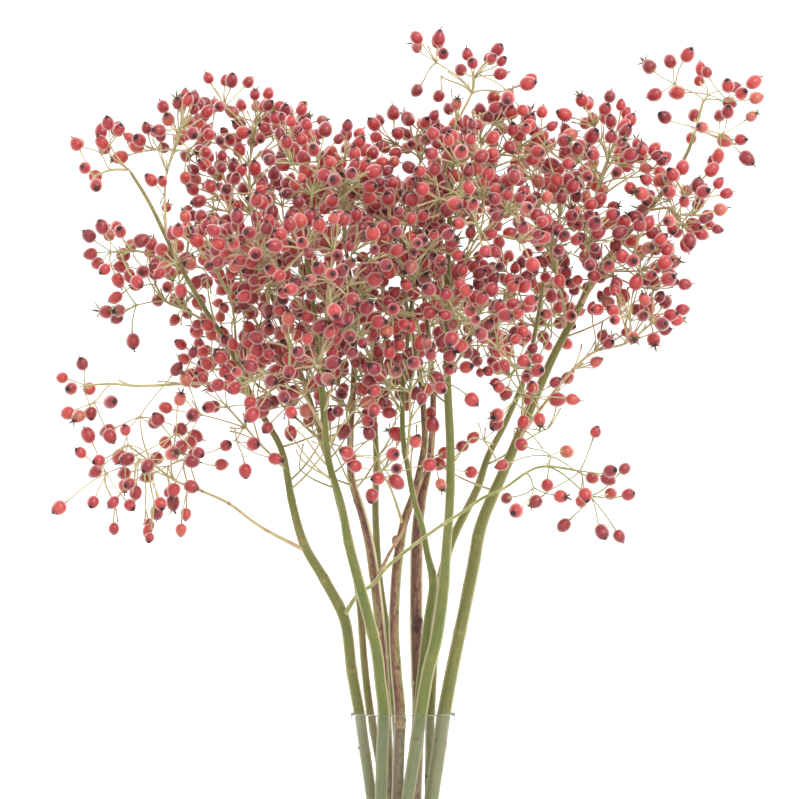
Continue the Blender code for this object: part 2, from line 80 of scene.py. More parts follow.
# Each cane from the vase's rim upwards: x, y, z and the cane's radius there.
CANES = {
    "cane_01": [(-25, -1, 200, 3.2), (-29.3, -3, 224, 3.2), (-33.3, -5, 253, 3.2), (-44.8, -7, 276, 3.0),
        (-56.3, -9, 296, 2.7), (-63, -10, 319, 2.3), (-69, -11, 349, 1.9), (-86.7, -14, 381, 1.8),
        (-98.7, -16, 408, 1.6), (-114, -18, 432, 1.4), (-129, -19, 459, 1.3), (-143.5, -20, 489, 1.1),
        (-155, -21, 508, 0.9)],
    "cane_02": [(-19, 16, 200, 2.4), (-22.5, 19, 230, 2.2), (-25, 23, 262, 2.1), (-29.3, 28, 287, 2.0),
        (-39, 37, 327, 1.8), (-50.5, 46, 368, 1.6), (-64, 53, 408, 1.4), (-80, 62, 450, 1.2),
        (-90, 70, 492, 0.9)],
    "cane_03": [(-11, -21.3, 200, 3.4), (-15.5, -27, 239, 3.3), (-23, -31, 268, 3.1), (-30.4, -36, 296, 2.8),
        (-35, -41, 320, 2.1), (-41.9, -47, 344, 2.0), (-45, -55, 378, 1.9), (-48, -63, 415, 1.5),
        (-54, -71, 455, 1.1)],
    "cane_04": [(-9.6, -2.0, 200, 2.8), (-12, -4, 239, 3.0), (-16.6, -6, 280, 3.0), (-19.5, -8, 298, 2.8),
        (-24, -10, 316, 2.5), (-29.3, -13, 334, 2.3), (-30, -16, 355, 1.9), (-28, -20, 390, 1.7),
        (-28, -24, 430, 1.4), (-33, -27, 468, 1.0)],
    "cane_05": [(-4.6, 11, 200, 2.2), (-8, 14, 239, 2.1), (-13.8, 18, 277, 2.1), (-16, 23, 320, 2.0),
        (-15.5, 28, 346, 1.8), (-17, 36, 379, 1.6), (-14, 48, 430, 1.3), (-6, 60, 478, 0.9)],
    "cane_06": [(-1.8, -9.2, 200, 3.3), (-5.2, -10, 248, 3.0), (-2.9, -11, 288, 2.9), (0.6, -12, 309, 2.5),
        (6.9, -14, 328, 2.1), (12, -17, 352, 1.9), (10, -21, 390, 1.6), (3, -27, 425, 1.3),
        (-1, -30, 452, 0.9)],
    "cane_07": [(9, 2, 200, 3.7), (7.5, 3, 252, 3.7), (8, 5, 300, 3.6), (10, 6, 320, 3.0), (15, 8, 343, 2.2),
        (17.5, 11, 379, 1.8), (14, 15, 425, 1.4), (8, 19, 470, 1.1), (4, 21, 498, 0.9)],
    "cane_08": [(8.3, -10.7, 200, 2.6), (11.2, -11.7, 226, 2.7), (14.3, -13, 252, 2.8), (17.2, -16, 274, 2.6),
        (13.8, -23, 291, 1.9), (10.9, -29, 306, 1.8), (6.3, -35, 321, 1.7), (3.4, -39, 336, 1.6),
        (0, -44, 357, 1.5), (0, -50, 385, 1.4), (3, -57, 415, 1.2), (6, -63, 442, 0.9)],
    "cane_09": [(10, -21.4, 200, 3.6), (14, -24, 224, 3.6), (19, -27, 244, 3.6), (22.7, -31, 271, 3.3),
        (24.7, -35, 298, 2.7), (26.4, -39, 322, 2.6), (26.6, -43, 350, 2.5), (25, -47, 385, 2.2),
        (24.7, -50, 436, 1.8), (27, -50, 494, 1.3), (30, -46, 532, 0.9)],
    "cane_10": [(16, 18, 200, 2.8), (17.5, 24, 232, 2.8), (19.5, 29, 264, 2.7), (28, 36, 297, 2.6),
        (43, 44, 328, 2.4), (50, 49, 348, 2.0), (60, 55, 367, 1.8), (71, 62, 392, 1.6), (80, 70, 430, 1.3),
        (86, 76, 470, 0.9)],
    "cane_11": [(23.6, -2.8, 200, 4.0), (28, -3, 224, 3.8), (34.4, -3, 255, 3.7), (40.2, -2, 284, 3.7),
        (45.3, -1, 309, 3.6), (59, 0, 341, 3.0), (70.6, 1, 368, 2.7), (84.4, 1, 400, 2.4), (101, 2, 432, 2.1),
        (112, 3, 453, 1.9), (131, 4, 477, 1.7), (150.4, 4, 500, 1.4), (163, 5, 520, 1.1), (168, 5, 533, 0.9)],
}

# Each spray: its cane, the height it leaves it at (None is the cane's tip), the points it passes,
# the middle of its head, the head's half sizes, how many hips it carries and how far their stalks lift.
SPRAYS = [
    # the far left arm and the two long low side shoots
    ("cane_01", None, [], (-174, -24, 505), (30, 22, 30), 10, 0.2),
    ("cane_01", 478, [], (-130, 0, 532), (26, 26, 25), 20, 0.3),
    ("cane_01", 458, [], (-166, -30, 464), (20, 22, 24), 14, 0.1),
    ("cane_01", 425, [], (-143, 4, 448), (33, 28, 34), 34, 0.1),
    ("cane_01", 405, [], (-115, -44, 464), (28, 26, 28), 17, 0.3),
    ("cane_01", 388, [(-112, -30, 387), (-140, -38, 385), (-162, -42, 386)],
     (-178, -44, 386), (26, 22, 22), 9, 0.0),
    ("cane_01", 298, [(-76, -16, 303), (-100, -24, 318), (-130, -32, 333)],
     (-156, -38, 352), (48, 30, 30), 40, -0.5),
    ("cane_01", 262, [(-17, -22, 275), (0, -32, 292), (24, -52, 309), (56, -62, 330), (80, -64, 341)],
     (98, -66, 337), (48, 26, 24), 20, -0.3),
    ("cane_01", 345, [], (-98, -46, 374), (30, 24, 32), 17, -0.2),
    # the upper left
    ("cane_02", None, [], (-88, 80, 548), (46, 32, 30), 36, 0.3),
    ("cane_02", 462, [], (-111, 62, 512), (29, 28, 28), 20, 0.3),
    ("cane_02", 440, [], (-72, 90, 498), (32, 28, 32), 28, 0.3),
    ("cane_02", 405, [], (-94, 50, 460), (30, 28, 30), 24, 0.2),
    ("cane_02", 362, [], (-100, 58, 412), (32, 28, 36), 34, 0.1),
    ("cane_03", None, [], (-48, -72, 508), (34, 30, 32), 30, 0.2),
    ("cane_03", 425, [], (-78, -82, 466), (30, 28, 28), 24, 0.3),
    ("cane_03", 400, [], (-38, -98, 456), (30, 28, 30), 26, 0.2),
    ("cane_03", 365, [], (-62, -80, 406), (42, 30, 34), 34, 0.0),
    ("cane_04", None, [], (-34, -34, 502), (32, 30, 30), 30, 0.3),
    ("cane_04", 430, [], (-72, -28, 456), (30, 28, 28), 26, 0.2),
    ("cane_04", 375, [], (-56, -30, 386), (32, 28, 30), 22, 0.0),
    ("cane_04", 345, [], (-26, -38, 388), (30, 26, 25), 19, -0.1),
    # the middle
    ("cane_05", None, [], (-18, 74, 506), (32, 28, 28), 26, 0.3),
    ("cane_05", 385, [], (-34, 60, 428), (30, 28, 30), 22, 0.1),
    ("cane_06", None, [], (-2, -38, 482), (30, 28, 28), 22, 0.3),
    ("cane_08", 375, [], (-22, -76, 434), (30, 28, 28), 22, 0.2),
    ("cane_08", 350, [], (4, -68, 396), (30, 26, 28), 19, 0.0),
    ("cane_06", 312, [], (-12, -48, 345), (24, 20, 22), 11, -0.1),
    ("cane_04", 280, [(-8, -19, 292), (-1, -23, 305), (7, -26, 321), (13, -30, 335)],
     (18, -34, 346), (24, 20, 20), 9, -0.2),
    ("cane_07", None, [], (14, 22, 530), (30, 30, 26), 18, 0.3),
    ("cane_07", 465, [], (38, 30, 505), (30, 28, 28), 22, 0.3),
    ("cane_07", 405, [], (2, 0, 446), (28, 28, 28), 16, 0.2),
    ("cane_08", None, [], (6, -78, 472), (30, 26, 28), 20, 0.3),
    ("cane_05", 400, [], (34, 84, 434), (36, 28, 32), 24, 0.1),
    ("cane_09", None, [], (42, -48, 558), (34, 26, 36), 20, 0.3),
    ("cane_09", 490, [], (62, -36, 526), (34, 28, 28), 28, 0.3),
    ("cane_09", 465, [], (30, -82, 504), (30, 28, 28), 19, 0.3),
    ("cane_09", 440, [], (56, -80, 480), (30, 28, 28), 27, 0.3),
    ("cane_09", 395, [], (44, -84, 424), (32, 28, 28), 26, 0.1),
    # the right
    ("cane_10", None, [], (82, 84, 514), (36, 32, 34), 32, 0.2),
    ("cane_10", 425, [], (86, 88, 452), (42, 30, 34), 34, 0.0),
    ("cane_11", 365, [], (66, -30, 396), (28, 24, 28), 17, -0.1),
    ("cane_11", 425, [], (88, -34, 480), (32, 28, 32), 27, 0.2),
    ("cane_11", 362, [(86, -14, 385), (108, -24, 404), (126, -34, 410)],
     (140, -44, 420), (32, 22, 24), 16, 0.0),
    ("cane_11", 440, [], (130, -38, 458), (30, 26, 30), 28, 0.3),
    ("cane_11", 455, [], (122, -10, 528), (36, 38, 38), 42, 0.2),
    ("cane_11", 495, [], (160, -26, 476), (34, 26, 36), 23, 0.2),
    ("cane_11", None, [], (177, 6, 556), (30, 26, 50), 26, 0.2),
]


def unit(v):
    return v / math.sqrt(v @ v)


def smooth_path(points, step):
    """Points about step apart on a Catmull-Rom curve through the given points."""
    pts = np.array(points, float)
    pts = np.vstack([2 * pts[0] - pts[1], pts, 2 * pts[-1] - pts[-2]])
    found = []
    for i in range(len(pts) - 3):
        a, b, c, d = pts[i:i + 4]
        count = max(1, round(np.linalg.norm(c - b) / step))
        for t in np.arange(count) / count:
            found.append(0.5 * (2 * b + (c - a) * t + (2 * a - 5 * b + 4 * c - d) * t * t
                                + (3 * b - a - 3 * c + d) * t ** 3))
    return np.array(found + [pts[-2]])


def cane_path(name):
    """A cane's points and radii, from its cut foot in the vase to its tip."""
    x, y, _, radius = CANES[name][0]
    turn = np.array([[math.cos(TWIST), -math.sin(TWIST)], [math.sin(TWIST), math.cos(TWIST)]])
    path = smooth_path(CANES[name], CANE_STEP)
    foot = (*(FOOT_SHARE * turn @ (x, y)), FOOT_HEIGHT, radius)
    path = np.vstack([foot, path])
    return path[:, :3], path[:, 3]


def gaps(a, b, starts, ends):
    """The distance from the segment a-b to each of the segments starts-ends."""
    d1, d2, r = b - a, ends - starts, a - starts
    aa, ee = max(d1 @ d1, 1e-9), np.maximum((d2 * d2).sum(1), 1e-9)
    bb, cc, ff = d2 @ d1, r @ d1, (d2 * r).sum(1)
    s = np.clip((bb * ff - cc * ee) / np.maximum(aa * ee - bb * bb, 1e-9), 0, 1)
    t = np.clip((bb * s + ff) / ee, 0, 1)
    s = np.clip((bb * t - cc) / aa, 0, 1)
    return np.linalg.norm(a + s[:, None] * d1 - starts - t[:, None] * d2, axis=1)


class Crowd:
    """Everything grown so far, as round-ended rods that meet at numbered knuckles."""

    def __init__(self):
        self.starts, self.ends = np.zeros((MOST_RODS, 3)), np.zeros((MOST_RODS, 3))
        self.radii, self.meets = np.zeros(MOST_RODS), np.zeros((MOST_RODS, 2), int)
        self.count = 0

    def add(self, a, b, radius, meets=(0, 0)):
        n = self.count
        self.starts[n], self.ends[n], self.radii[n], self.meets[n] = a, b, radius, meets
        self.count += 1

    def fits(self, a, b, radius, knuckle=NO_KNUCKLE):
        """Whether a rod has room, apart from the rods that meet it at its own knuckle."""
        n = self.count
        near = gaps(a, b, self.starts[:n], self.ends[:n]) - self.radii[:n] - radius < SEAM
        return not (near & (self.meets[:n] != knuckle).all(1)).any()


class Knuckle:
    """A joint of a spray: an eight-faced knob that can carry one arm in each of its octants."""
    made = 0

    def __init__(self, point, radius, ahead, corner):
        Knuckle.made += 1
        self.number = Knuckle.made
        self.point, self.radius = point, radius
        across = unit(corner - (corner @ ahead) * ahead)
        side = np.cross(ahead, across)
        self.axes = np.array([ahead / math.sqrt(3) + math.sqrt(2 / 3) *
                              (math.cos(a) * across + math.sin(a) * side)
                              for a in (0.0, math.tau / 3, -math.tau / 3)])
        self.ahead = ahead
        self.arms = {}          # octant -> Knuckle or Hip

    def octant(self, direction):
        return tuple(int(s) for s in np.where(self.axes @ direction >= 0, 1, -1))


class Hip:
    """A hip: the point where its stalk ends, the way it looks, and its radius."""

    def __init__(self, base, look, radius):
        self.base, self.look, self.radius = base, look, radius
        self.middle = base + look * radius


BEHIND = (-1, -1, -1)
AHEAD = (1, 1, 1)


def random_ball(rng):
    """A random point in the unit ball."""
    while True:
        v = np.array([rng.uniform(-1, 1) for _ in range(3)])
        if v @ v <= 1.0:
            return v


def place_at(path, height):
    """The place on a cane's path at a height."""
    return np.array([np.interp(height, path[:, 2], path[:, i]) for i in range(3)])


def grow_axis(crowd, rng, cane, height, via, head):
    """A spray's chain of knuckles, from beside its cane to the middle of its head."""
    path, radii = cane_path(cane)
    if height is None:
        place, radius = path[-1], 0.0
        leave = unit(path[-1] - path[-2])
        out = leave
    else:
        place = place_at(path, height)
        radius = radii[np.searchsorted(path[:, 2], height) - 1]
        rise = unit(place_at(path, height + 5) - place)
        goal = np.array(via[0] if via else head) - place
        out = unit(goal - (goal @ rise) * rise)
        leave = unit(out + 0.6 * rise)
    thick = AXIS_KNUCKLE + 0.12 * len(via)
    first = place + out * (radius + 1.5 * SEAM + thick)
    for _ in range(AXIS_TRIES):
        bow = random_ball(rng) * (4.0 + 0.1 * np.linalg.norm(np.array(head) - first))
        middle = [np.array(p) + random_ball(rng) * 2.0 for p in via]
        middle = middle or [0.5 * (first + leave * 14 + head) + bow]
        chain = smooth_path([first, *middle, np.array(head) + random_ball(rng) * 3], STEP)
        chain[1:-1] += np.array([random_ball(rng) * 1.0 for _ in chain[1:-1]])
        if all(crowd.fits(a, b, thick) for a, b in zip(chain[:-1], chain[1:])):
            turns = [unit(b - a) for a, b in zip(chain[:-1], chain[1:])]
            if min(a @ b for a, b in zip([turns[0], *turns[:-1]], turns)) > LEAST_STRAIGHT:
                break
    else:
        raise ValueError(f"no room for the spray from {cane} to {head}")
    knuckles = []
    corner = np.array([rng.uniform(-1, 1) for _ in range(3)])
    aheads = [turns[0], *turns]
    for i, (point, ahead) in enumerate(zip(chain, aheads)):
        share = i / (len(chain) - 1)
        size = thick + (UMBEL_KNUCKLE - thick) * share
        knuckle = Knuckle(point, size, ahead, corner)
        if knuckles:
            knuckles[-1].arms[AHEAD] = knuckle
            crowd.add(knuckles[-1].point, point, knuckles[-1].radius,
                      (knuckles[-1].number, knuckle.number))
        corner = -knuckle.axes[0]
        knuckles.append(knuckle)
    return knuckles


def clear_of_arms(knuckle, direction, least=0.86):
    """Whether a new arm keeps its angle from the arms that the knuckle already has."""
    if direction @ -knuckle.ahead > least:
        return False
    others = [arm.point if isinstance(arm, Knuckle) else arm.base for arm in knuckle.arms.values()]
    return all(unit(other - knuckle.point) @ direction < least for other in others)


def grow_hip(crowd, rng, knuckle, lift):
    """Tries one hip on a stalk in a free octant of the knuckle, and says whether it had room."""
    octant = tuple(rng.choice((-1, 1)) for _ in range(3))
    face = unit(np.array(octant) @ knuckle.axes)
    lean = rng.uniform(0.1, 0.6)
    way = unit(face * (1 - lean) + knuckle.ahead * lean + random_ball(rng) * 0.3 + lift * UP)
    if knuckle.octant(way) in [*knuckle.arms, BEHIND] or not clear_of_arms(knuckle, way):
        return False
    radius = rng.uniform(*HIP_RADIUS)
    stalk = rng.uniform(*PEDICEL_LENGTH) * (1.0 + max(0.0, -lift) * HANGING_STRETCH)
    hip = Hip(knuckle.point + way * stalk, way, radius)
    belly = hip.middle, hip.middle + way * BELLY_REACH * radius
    if not crowd.fits(*belly, radius * BELLY + HIP_ROOM):
        return False
    if not crowd.fits(knuckle.point, hip.base, PEDICEL_KNUCKLE, knuckle.number):
        return False
    crowd.add(knuckle.point, hip.base, PEDICEL_KNUCKLE, (knuckle.number, knuckle.number))
    crowd.add(*belly, radius * BELLY)
    knuckle.arms[knuckle.octant(way)] = hip
    return True


def grow_branchlet(crowd, rng, axis, head, spread):
    """Tries one branchlet from the axis to a random place in the head, and returns its end knuckle."""
    target = np.array(head) + random_ball(rng) * (np.array(spread) - BRANCHLET_MARGIN)
    costs = []
    for knuckle in axis:
        away = target - knuckle.point
        length = np.linalg.norm(away)
        lean = away @ knuckle.ahead / length
        near = BRANCHLET_REACH[0] < length < BRANCHLET_REACH[1]
        if near and BRANCHLET_LEAN[0] < lean < BRANCHLET_LEAN[1] and len(knuckle.arms) < MOST_ARMS:
            costs.append((length - 6.0 * lean, knuckle.number, knuckle))
    if not costs:
        return None
    base = min(costs)[2]
    way = unit(target - base.point)
    octant = base.octant(way)
    if octant in (BEHIND, AHEAD) or octant in base.arms or not clear_of_arms(base, way):
        return None
    if not crowd.fits(base.point, target, UMBEL_KNUCKLE, base.number):
        return None
    squarest = int(np.argmin(abs(base.axes @ way)))
    tip = Knuckle(target, UMBEL_KNUCKLE, way, -octant[squarest] * base.axes[squarest])
    crowd.add(base.point, target, UMBEL_KNUCKLE, (base.number, tip.number))
    base.arms[octant] = tip
    return tip


def grow_spray(crowd, rng, axis, head, spread, hips, lift):
    """Fills a spray's head: branchlets from its axis, each with an umbel of hips at its end."""
    done = 0
    umbels = [axis[-1]]
    for _ in range(BRANCHLET_TRIES):
        if done >= hips:
            break
        tip = umbels.pop() if umbels else grow_branchlet(crowd, rng, axis, head, spread)
        if tip is None:
            continue
        wanted = rng.choice(UMBEL_HIPS)
        for _ in range(HIP_TRIES):
            if wanted and done < hips and grow_hip(crowd, rng, tip, lift):
                wanted -= 1
                done += 1


def prune(knuckle):
    """Drops the arms that carry no hip, and says whether any is left."""
    for octant, arm in list(knuckle.arms.items()):
        if isinstance(arm, Knuckle) and not prune(arm):
            del knuckle.arms[octant]
    return bool(knuckle.arms)


def grow_bunch():
    """Each cane's path and radii, each spray's first knuckle, and the crowd, with nothing touching."""
    crowd = Crowd()
    canes = {name: cane_path(name) for name in CANES}
    for path, radii in canes.values():
        for a, b, radius in zip(path[:-1], path[1:], radii[:-1]):
            crowd.add(a, b, radius)
        crowd.ends[crowd.count - 1] -= unit(path[-1] - path[-2]) * radii[-2]
    axes = [grow_axis(crowd, random.Random(number), *row[:4]) for number, row in enumerate(SPRAYS)]
    sprays = {}
    for number, (axis, row) in enumerate(zip(axes, SPRAYS), 1):
        grow_spray(crowd, random.Random(SPRAY_SEED + number), axis, *row[3:])
        prune(axis[0])
        sprays[f"spray_{number:02d}"] = axis[0]
    return canes, sprays, crowd


# --- shapes

MM = 0.001
CANE_SIDES, TWIG_SIDES, STALK_SIDES, BARE_SIDES, HIP_SIDES, LATE_SIDES = 20, 8, 5, 4, 14, 10
HIP_FILL = (0.9, 1.08)  # of a hip's radius in the growth
HIP_STRETCH = (1.04, 1.26)  # a hip's length over its width
STALK_RADIUS, UMBEL_RADIUS = 0.36, 0.45
CALYX_REACH = 0.36  # of a hip's radius
DRY = 0.96  # hips of a tone above this dried up before they were ripe
TWIG_FILL = 0.74  # of a twig's radius in the growth
FORK_DROP = 7.0  # a side shoot parts from its cane this much lower than in the growth
CANE_COURSE_STEP, TWIG_COURSE_STEP = 2.2, 3.0  # between two rings of a cane or of a spray's axis
BARE_TRIES = 24  # tries to add a branchlet without fruits to each spray
BARE_STALKS = 9.0  # the most stalks without fruits at one joint
# The chance that a stalk without a fruit bears a small late one: heights, and the chances there.
LATE_CHANCES = (370.0, 405.0, 480.0, 500.0), (0.1, 0.85, 0.9, 1.0)
HANG_BELOW = {"spray_07": 345.0}  # the joints of a spray that carry hanging shoots, by height
LATE_RADIUS = (2.9, 3.8)
# The densest parts: middle and half sizes (x, z).
TANGLES = [((-15, 455), (110, 85)), ((100, 448), (90, 68)), ((-80, 520), (62, 36)), ((50, 515), (84, 44))]
WISP_TRIES = 2  # thin bare shoots below each spray, where there is room
WISP_LOWEST = 325.0
BARE_STALK_TRIES = 20  # tries for the stalks without fruits at one joint
STOUTER = 0.13  # added to a stalk's radius in the middle of a tangle
DRY_WRINKLES = 3.0  # times as deep as the lumps of a sound hip
STYLES_SHARE = 0.62  # of the hips keep a tuft of styles
NO_SEPALS_SHARE = 0.9  # of the hips that haven't dried up have lost their sepals
BRACT_SHARE = 0.35  # of the branchlets end with a bract
BARK_REPEAT = 400.0  # the bark's pattern starts anywhere in this length


class Shape:
    """Faces gathered for one mesh. Each point has its place on the unrolled skin and a tone."""

    def __init__(self):
        self.points, self.skins, self.tones, self.faces = [], [], [], []
        self.count = 0

    def add(self, rings, skins, tones):
        """A closed tube through rings of points."""
        turns, sides = rings.shape[:2]
        self.points.append(rings.reshape(-1, 3))
        self.skins.append(skins.reshape(-1, 3))
        self.tones.append((np.zeros((turns, sides)) + tones).reshape(-1))
        low = self.count + np.arange((turns - 1) * sides).reshape(turns - 1, sides)
        side = np.roll(low, -1, axis=1)
        self.faces += np.stack([low, side, side + sides, low + sides], -1).reshape(-1, 4).tolist()
        self.faces.append(low[0][::-1].tolist())
        self.faces.append((low[-1] + sides).tolist())
        self.count += turns * sides

    def make(self, name, paint, slot, *nodes):
        """One piece from all that was added, standing for these nodes."""
        mesh = bpy.data.meshes.new(name)
        mesh.from_pydata(np.vstack(self.points) * MM, [], self.faces)
        mesh.shade_smooth()
        skins = mesh.attributes.new("skin", "FLOAT_VECTOR", "POINT")
        skins.data.foreach_set("vector", np.vstack(self.skins).reshape(-1))
        tones = mesh.attributes.new("tone", "FLOAT", "POINT")
        tones.data.foreach_set("value", np.concatenate(self.tones))
        mesh.materials.append(paint)
        piece = bpy.data.objects.new(name, mesh)
        bpy.context.scene.collection.objects.link(piece)
        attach(piece, "root")
        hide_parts(*nodes)


def compass(turn, rise=0.0):
    """The level direction at an angle round the vertical, or one that rises as well."""
    return np.array([math.cos(turn), math.sin(turn), rise])


def square_to(way):
    """A direction square to another."""
    return unit(np.cross(way, (0.3, 1.0, 0.2) if abs(way[2]) > 0.8 else (0.1, 0.2, 1.0)))


def lathe(widths, heights, count):
    """Rings of points round the vertical axis, one for each width and height."""
    turns = math.tau * np.arange(count) / count
    return np.stack([np.outer(widths, np.cos(turns)), np.outer(widths, np.sin(turns)),
                     np.outer(heights, np.ones(count))], -1)


def tube(shape, path, radii, sides, tones, start=0.0, flat=1.0, across=None):
    """A tube along a path. Radii go by point, or by point and side; flat squeezes it one way."""
    path, radii = np.asarray(path, float), np.asarray(radii, float)
    ways = np.gradient(path, axis=0)
    ways /= np.linalg.norm(ways, axis=1)[:, None]
    turns = math.tau * np.arange(sides) / sides
    cos, sin = np.cos(turns), np.sin(turns) * flat
    across = square_to(ways[0]) if across is None else across
    along = start + np.concatenate([[0.0], np.linalg.norm(np.diff(path, axis=0), axis=1).cumsum()])
    rings, skins = np.zeros((len(path), sides, 3)), np.zeros((len(path), sides, 3))
    if radii.ndim == 1:
        radii = radii[:, None] * np.ones(sides)
    for i, way in enumerate(ways):
        across = unit(across - (across @ way) * way)
        side = np.cross(way, across)
        rings[i] = path[i] + radii[i][:, None] * (cos[:, None] * across + sin[:, None] * side)
        skins[i] = np.stack([radii[i] * cos, radii[i] * sin, along[i] + 0 * cos], -1)
    shape.add(rings, skins, np.asarray(tones)[:, None] if np.ndim(tones) == 1 else tones)


def arch(a, way_out, b, way_in, count, pull=0.38):
    """Points on a curve from a to b that leaves and arrives in the given directions."""
    reach = np.linalg.norm(b - a) * pull
    c, d = a + way_out * reach, b - way_in * reach
    t = np.linspace(0, 1, count)[:, None]
    return (1 - t) ** 3 * a + 3 * (1 - t) ** 2 * t * c + 3 * (1 - t) * t * t * d + t ** 3 * b


# --- the canes

# Each cane's looks: the heights of its extra joints (each spray leaves it at a joint too), how brown it is
# from its foot to its tip (0 green, 1 brown), how much browner it is on its left than on its right, and where
# pale stripes of painted highlight run up it, as its edges look when lit from behind (degrees, 0 right, -90
# front).
CANE_LOOKS = {
    "cane_01": ((128, 176, 224, 276, 322), (0.25, 0.28, 0.26, 0.42), 0.0, (0,)),
    "cane_02": ((108, 188, 246, 300), (0.35, 0.50, 0.55, 0.40), -0.25, (-20,)),
    "cane_03": ((96, 170, 246, 298), (0.10, 0.10, 0.15, 0.30), 0.10, (-12, 186)),
    "cane_04": ((142, 232, 318), (0.55, 0.66, 0.72, 0.50), -0.8, (-40,)),
    "cane_05": ((116, 208, 262, 330), (0.30, 0.32, 0.35, 0.40), 0.10, ()),
    "cane_06": ((80, 193, 254, 297), (0.80, 0.66, 0.60, 0.40), 0.95, (190,)),
    "cane_07": ((150, 217, 252, 318), (0.60, 0.78, 0.80, 0.45), 0.50, (196, 10)),
    "cane_08": ((98, 172, 236, 277), (0.25, 0.15, 0.15, 0.30), 0.0, (-10,)),
    "cane_09": ((130, 184, 232, 274, 330), (0.15, 0.12, 0.20, 0.35), 0.10, (190,)),
    "cane_10": ((86, 160, 230, 290, 350), (0.30, 0.30, 0.35, 0.40), 0.0, ()),
    "cane_11": ((112, 182, 246, 300, 343), (0.20, 0.22, 0.26, 0.36), 0.0, (184,)),
}
HIGHLIGHT_TONE = 1.35  # the tone of a stripe of painted highlight
# Cut side shoots: cane, height, direction in the round (degrees, 0 right, -90 front), rise, radius, length
# and how weathered the cut is.
STUBS = [("cane_06", 193, -92, 0.10, 2.6, 4.2, 0.25)]
# Dead buds that stayed as knobs: cane, height, direction, radius, tone.
KNOBS = [("cane_06", 297, 196, 2.4, 0.5), ("cane_07", 251, -78, 3.0, 1.0)]
BUD_LENGTH = 2.6


def cane_course(path, radii):
    """A cane's path in fine steps, with the radius as a fourth number."""
    rows = np.column_stack([path, radii])
    inside = [rows[0] + (rows[1] - rows[0]) * i / 8 for i in range(8)]
    return smooth_path([*inside, *rows[1:]], CANE_COURSE_STEP)


def at_height(course, height):
    """The row of a cane's course at a height, and the direction that the cane has there."""
    i = int(np.clip(np.searchsorted(course[:, 2], height), 1, len(course) - 2))
    return course[i], unit(course[i + 1, :3] - course[i - 1, :3])


def make_cane(name, course, joints, shape, scars):
    """The cane with its swollen joints, small buds and cut shoots."""
    rng, (_, browning, browner, highlight_turns) = random.Random(name), CANE_LOOKS[name]
    z, radii = course[:, 2], course[:, 3].copy()
    radii *= 1.0 + 0.01 * np.sin(z * 0.11 + rng.uniform(0, 6)) + 0.006 * np.sin(z * 0.37 + rng.uniform(0, 6))
    tones = np.interp(z, (20, 200, 300, 480), browning)
    for height in joints:
        size = rng.uniform(0.04, 0.09)
        swelling = 1.0 + size * np.exp(-((z - height) / 2.2) ** 2)
        radii *= swelling - 0.03 * np.exp(-((z - height + 3.2) / 0.7) ** 2)
        tones = tones + 0.2 * np.exp(-((z - height) / 1.6) ** 2)
    turns = math.tau * np.arange(CANE_SIDES) / CANE_SIDES
    lobes = 1.0 + 0.02 * np.cos(5 * turns[None] + z[:, None] * 0.02) + 0.012 * np.cos(2 * turns[None] + 1.0)
    # the first side looks to the right, so that left and right can differ in tone
    tones = tones[:, None] - 0.5 * browner * np.cos(turns)[None]
    # painted highlight: pale stripes up the cane, as its edges look when lit from behind, fading out high up
    for highlight_turn in highlight_turns:
        near = np.exp(-(((turns - math.radians(highlight_turn) + math.pi) % math.tau - math.pi) / 0.34) ** 2)
        strength = np.interp(z, (20, 60, 330, 400), (0.6, 1.0, 1.0, 0.0))
        tones = tones + (HIGHLIGHT_TONE - tones) * near[None] * strength[:, None]
    tube(shape, course[:, :3], radii[:, None] * lobes, CANE_SIDES, tones, start=100.0 * rng.random(),
         across=np.array([1.0, 0.0, 0.0]))
    for height in joints:
        row, way = at_height(course, height + 1.5)
        if row[3] < 1.4 or rng.random() < 0.4:
            continue
        out = unit(compass(rng.uniform(0, math.tau)))
        size = rng.uniform(0.7, 1.0) * min(1.0, row[3] / 2.6)
        add_bud(scars, row[:3] + out * row[3] * 0.92, unit(out + 1.6 * way), size)
    for cane, height, *knob in KNOBS:
        if cane == name:
            add_knob(scars, rng, at_height(course, height)[0], *knob)
    for cane, height, turn, rise, *stub in STUBS:
        if cane == name:
            out = unit(compass(math.radians(turn), rise))
            add_stub(shape, scars, at_height(course, height)[0], out, *stub)


def add_knob(scars, rng, row, turn, radius, tone):
    """A knotty knob on a cane's side, drawn out downwards."""
    out = compass(math.radians(turn))
    rise = np.array([1.3, 1.0, 0.5, 0.0, -0.6, -1.3, -2.1, -2.9])
    widths = radius * np.array([0.2, 0.72, 0.98, 1.0, 0.92, 0.7, 0.4, 0.1])
    lumps = 1.0 + 0.12 * np.array([[rng.random() for _ in range(12)] for _ in rise])
    path = row[:3] + out * row[3] * 0.95 + np.outer(rise * radius, (0.0, 0.0, 1.0))
    path = path - np.outer(0.04 * rise ** 2 * radius, out)
    tube(scars, path, widths[:, None] * lumps, 12, tone - 0.2 - 0.5 * (lumps - 1.06) / 0.12)


def add_bud(shape, place, way, size):
    """A small pointed bud that lies against its cane."""
    share = np.array([-0.25, 0.0, 0.25, 0.55, 0.85, 1.0])
    width = np.array([0.8, 1.0, 0.95, 0.6, 0.25, 0.06])
    tube(shape, place + np.outer(share * BUD_LENGTH * size, way), width * size, 8, 0.55, flat=0.7)


